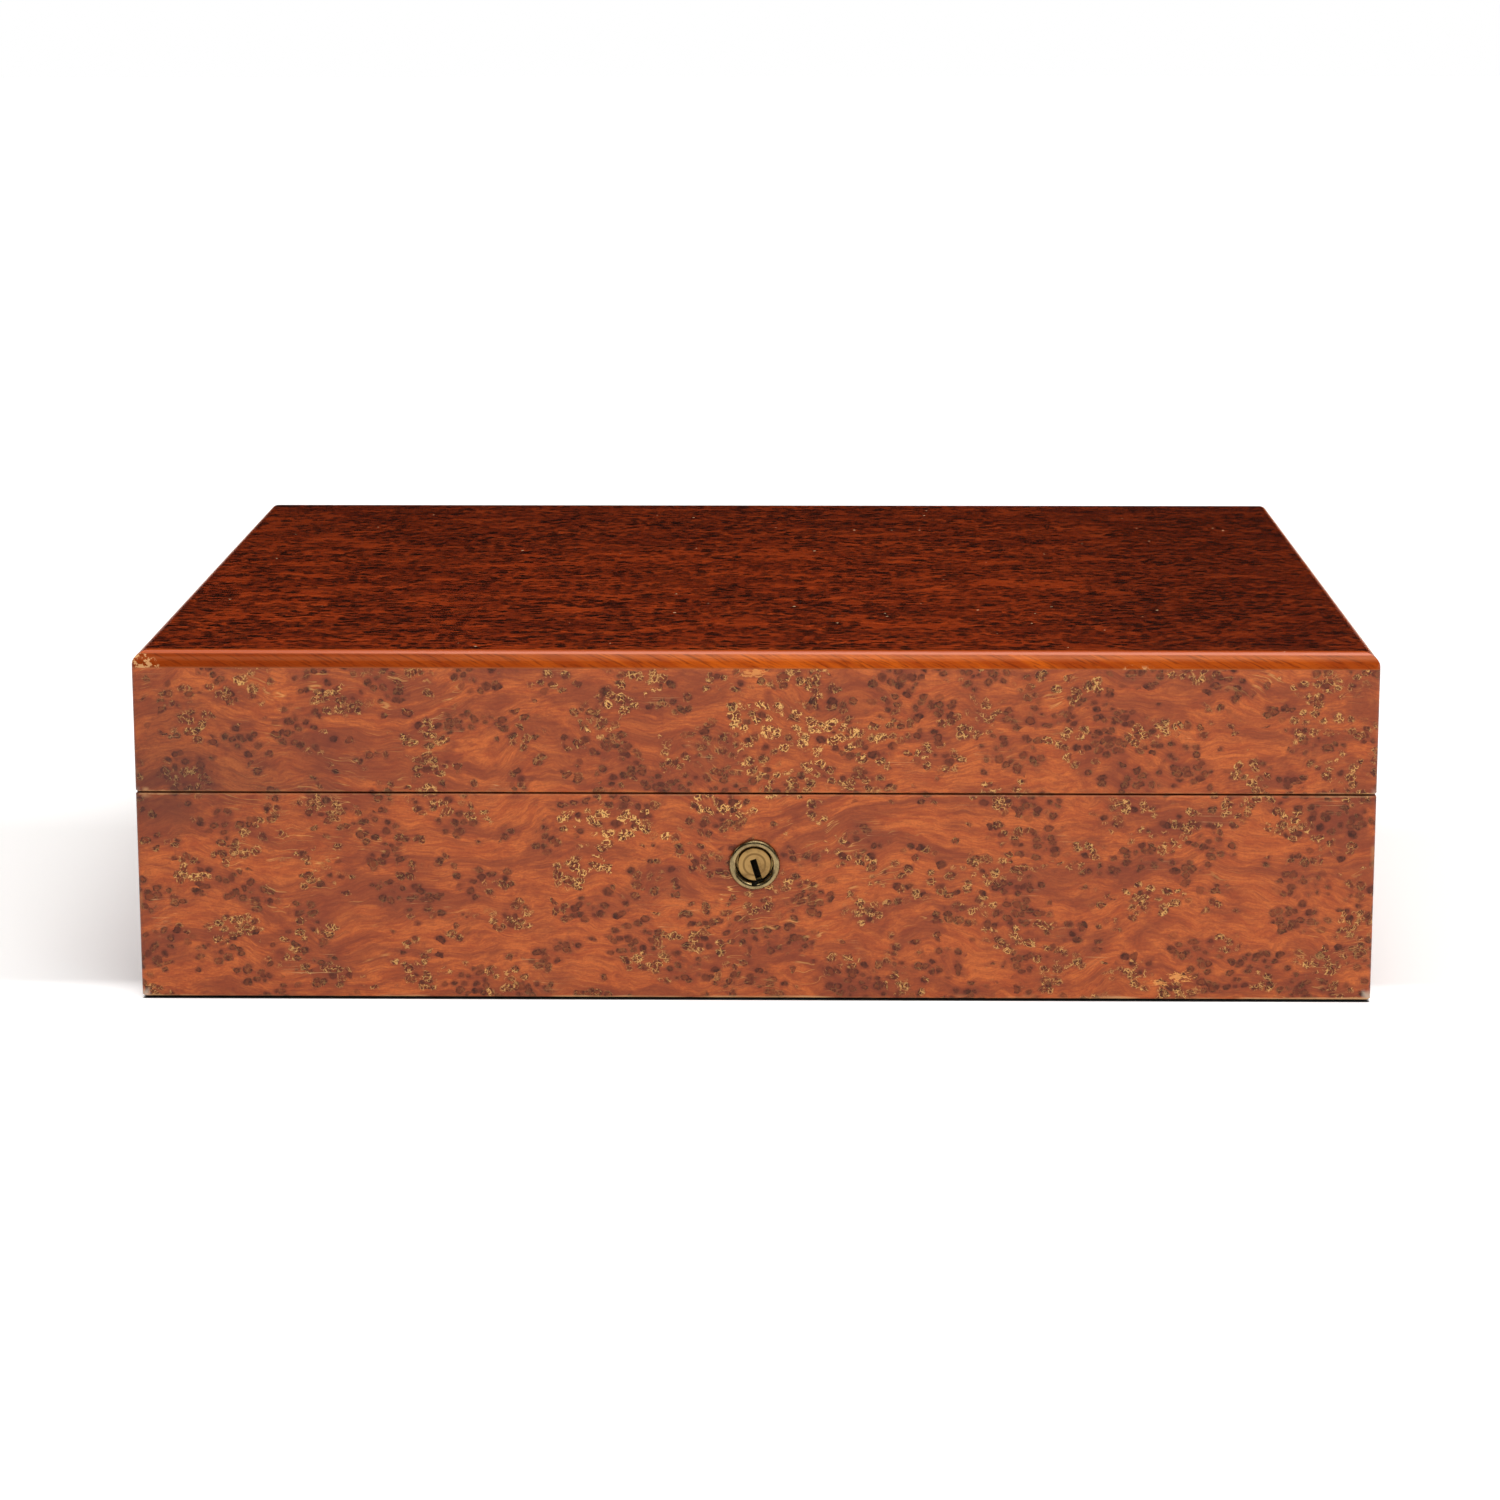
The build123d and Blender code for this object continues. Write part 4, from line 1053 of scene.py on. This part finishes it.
def makeScale():
    tree = makeScaleTree()
    holder = addObject("scaleHolder", bpy.data.meshes.new("scaleHolder"))
    modifier = holder.modifiers.new("dialTicks", "NODES")
    modifier.node_group = tree
    setInputs(modifier, tree, {**scaleLook, "Centre": printPlace, "Ink": dialInk})
    mesh = takeMesh(holder)
    mesh.name = "dialScale"
    addPiece("dialScale", mesh, dialInk, "lid")


def makeNumbers():
    # upright figures, as read with the lid open
    shape = bmesh.new()
    for percent in range(0, 101, figuresLook["step"]):
        letters = bpy.data.curves.new("dialFigure", "FONT")
        letters.body = str(percent)
        letters.size = figuresLook["height"]
        letters.align_x, letters.align_y = "CENTER", "CENTER"
        letters.extrude = scaleLook["Thickness"] / 2
        mesh = takeMesh(addObject("dialFigure", letters))
        angle = dialAngle(percent)
        radius = figuresLook["radius"]
        spot = Vector((dialCentre[0] + radius * math.sin(angle), dialCentre[1] - radius * math.cos(angle),
                       printPlace.z))
        mesh.transform(Matrix.Translation(spot) @ Matrix.Rotation(math.pi, 4, "X"))
        shape.from_mesh(mesh)
        bpy.data.meshes.remove(mesh)
    addPiece("dialNumbers", meshFromShape("dialNumbers", shape), dialInk, "lid")


makeBaizeSheet()
makeFoamPad()
makeScale()
makeNumbers()
print("humidor: felt, foam and dial print made")


# Studio: floor, world, lamps and camera

def directView(tree):
    # 1 for what the camera sees, straight, mirrored or through glass
    path = tree.nodes.new("ShaderNodeLightPath").outputs
    return larger(larger(path["Is Camera Ray"], path["Is Glossy Ray"]), path["Is Transmission Ray"])


floorLook = {
    "reach": 6.0,
    "paint": 0.86, "under": 0.05, "underEdge": (-0.0008, 0.0002),
    "lift": (0.35, 1.2, 0.2, 0.72), "front": (0.03, 0.006, 0.0, 0.5), "back": (-0.03, 0.16, 0.0, 0.4),
    "finish": {"Roughness": 0.9, "Specular IOR Level": 0.1, "Emission Color": (1, 1, 1, 1)},
}


def makeFloor():
    # pale paint that glows in view, more in front of and behind the box so that its shadow shows only beside
    # it, with the box's own footprint painted dark as its shadow
    mesh = bpy.data.meshes.new("studioFloor")
    reach = floorLook["reach"]
    corners = [(-reach, -reach, 0), (reach, -reach, 0), (reach, reach, 0), (-reach, reach, 0)]
    mesh.from_pydata(corners, [], [(0, 1, 2, 3)])
    floor = addObject("studioFloor", mesh)
    made, shader, place = newMaterial("studioFloorPaint")
    lift = remap(vectorCalc("LENGTH", place), *floorLook["lift"])
    across, depth = split(place)[:2]
    front, side = baseSpan[0][1], baseSpan[1][0]
    beside, beyond = minus(unsigned(across), side), plus(unsigned(depth), front)
    clear = remap(larger(beside, beyond), *floorLook["underEdge"])
    # painted light: the glow rises in front of and behind the box, lifting its shadow there
    start, end, least, most = floorLook["front"]
    ahead = times(remap(depth, front + start, front + end, least, most), clear)
    lift = larger(larger(lift, ahead), remap(depth, *floorLook["back"]))
    # painted shadow: the paint is dark under the box's footprint
    paint = scaleAdd(clear, floorLook["paint"] - floorLook["under"], floorLook["under"])
    grey = addNode("ShaderNodeCombineColor", {0: paint, 1: paint, 2: paint}).outputs[0]
    mesh.materials.append(finishMaterial(made, shader, {
        "Base Color": grey,
        "Emission Strength": times(times(directView(made.node_tree), lift), clear),
        **floorLook["finish"],
    }))


cardCorners = {
    "backCard": [(-3.2, 2.2, 0.01), (3.2, 2.2, 0.01), (3.2, 2.2, 1.75), (-3.2, 2.2, 1.75)],
    "frontCard": [(-3.2, -2.4, 0.01), (3.2, -2.4, 0.01), (3.2, -2.4, 2.6), (-3.2, -2.4, 2.6)],
    "roofCard": [(-3.2, -2.4, 2.6), (3.2, -2.4, 2.6), (3.2, 0.1, 2.6), (-3.2, 0.1, 2.6)],
    "leftCard": [(-3.2, -2.4, 0.3), (-3.2, 2.2, 0.3), (-3.2, 2.2, 1.75), (-3.2, -2.4, 1.75)],
    "rightCard": [(3.2, -2.4, 0.3), (3.2, 2.2, 0.3), (3.2, 2.2, 1.75), (3.2, -2.4, 1.75)],
}
cardPaint = {"Base Color": (0.004, 0.004, 0.004, 1), "Roughness": 1.0, "Specular IOR Level": 0.0}


def makeCard(name, corners):
    # a black card that is seen only as a reflection in the polish
    mesh = bpy.data.meshes.new(name)
    mesh.from_pydata(corners, [], [(0, 1, 2, 3)])
    card = addObject(name, mesh)
    made, shader, place = newMaterial(name + "Paint")
    mesh.materials.append(finishMaterial(made, shader, cardPaint))
    card.visible_camera = False
    card.visible_diffuse = False
    card.visible_transmission = False
    card.visible_shadow = False


worldLook = {"light": 0.55, "seenExtra": 0.45}


def makeWorld():
    world = bpy.data.worlds.new("studioWorld")
    bpy.context.scene.world = world
    world.use_nodes = True
    tree = world.node_tree
    tree.nodes.clear()
    strength = scaleAdd(directView(tree), worldLook["seenExtra"], worldLook["light"])
    sky = addNode("ShaderNodeBackground", {"Color": (1, 1, 1, 1), "Strength": strength})
    addNode("ShaderNodeOutputWorld", {"Surface": sky.outputs[0]})
    arrange(tree)


# the first two are seen in the polish and light nothing else, and the others the reverse
lampLook = {
    "edgeGlint": {"place": (0.22, 0.03, 1.35), "aim": (0, 0, 0.09), "size": (1.6, 0.85), "watts": 13.0},
    "edgeSoft": {"place": (0.28, -0.75, 1.3), "aim": (0, 0, 0.09), "size": (1.6, 0.8), "watts": 8.0},
    "topBox": {"place": (0.22, -0.3, 1.35), "aim": (0, 0, 0.09), "size": (0.9, 0.9), "watts": 10.0,
               "colour": (1.0, 0.97, 0.92)},
    "frontFill": {"place": (0.5, -1.9, 0.8), "aim": (0, 0, 0.05), "size": (1.8, 1.0), "watts": 15.0},
}


def addLamp(name, place, aim, size, watts, colour=(1, 1, 1)):
    lamp = bpy.data.lights.new(name, "AREA")
    lamp.shape = "RECTANGLE"
    lamp.size, lamp.size_y = size
    lamp.energy = watts
    lamp.color = colour
    holder = addObject(name, lamp)
    holder.location = place
    holder.rotation_euler = (Vector(aim) - Vector(place)).to_track_quat("-Z", "Y").to_euler()
    if name.startswith("edge"):
        holder.visible_diffuse = False
    else:
        holder.visible_glossy = False


cameraLook = {
    "focalPixels": 3986.0, "frameWidth": 1500.0, "sensor": 36.0,
    "place": (0.0173, -1.1698, 0.2857),
    "yaw": -1.023, "pitch": 11.851, "roll": -0.076,
}


def makeCamera():
    lens = bpy.data.cameras.new("photoCamera")
    lens.sensor_width = cameraLook["sensor"]
    lens.lens = cameraLook["focalPixels"] / cameraLook["frameWidth"] * cameraLook["sensor"]
    camera = addObject("photoCamera", lens)
    turn = Matrix.Rotation(math.radians(-cameraLook["yaw"]), 4, "Z")
    turn = turn @ Matrix.Rotation(math.radians(90 - cameraLook["pitch"]), 4, "X")
    turn = turn @ Matrix.Rotation(math.radians(cameraLook["roll"]), 4, "Z")
    camera.matrix_world = Matrix.Translation(cameraLook["place"]) @ turn
    bpy.context.scene.camera = camera


makeFloor()
for name, corners in cardCorners.items():
    makeCard(name, corners)
makeWorld()
for name, look in lampLook.items():
    addLamp(name, **look)
makeCamera()
bpy.context.scene.view_settings.view_transform = "Standard"
print("humidor: studio set")
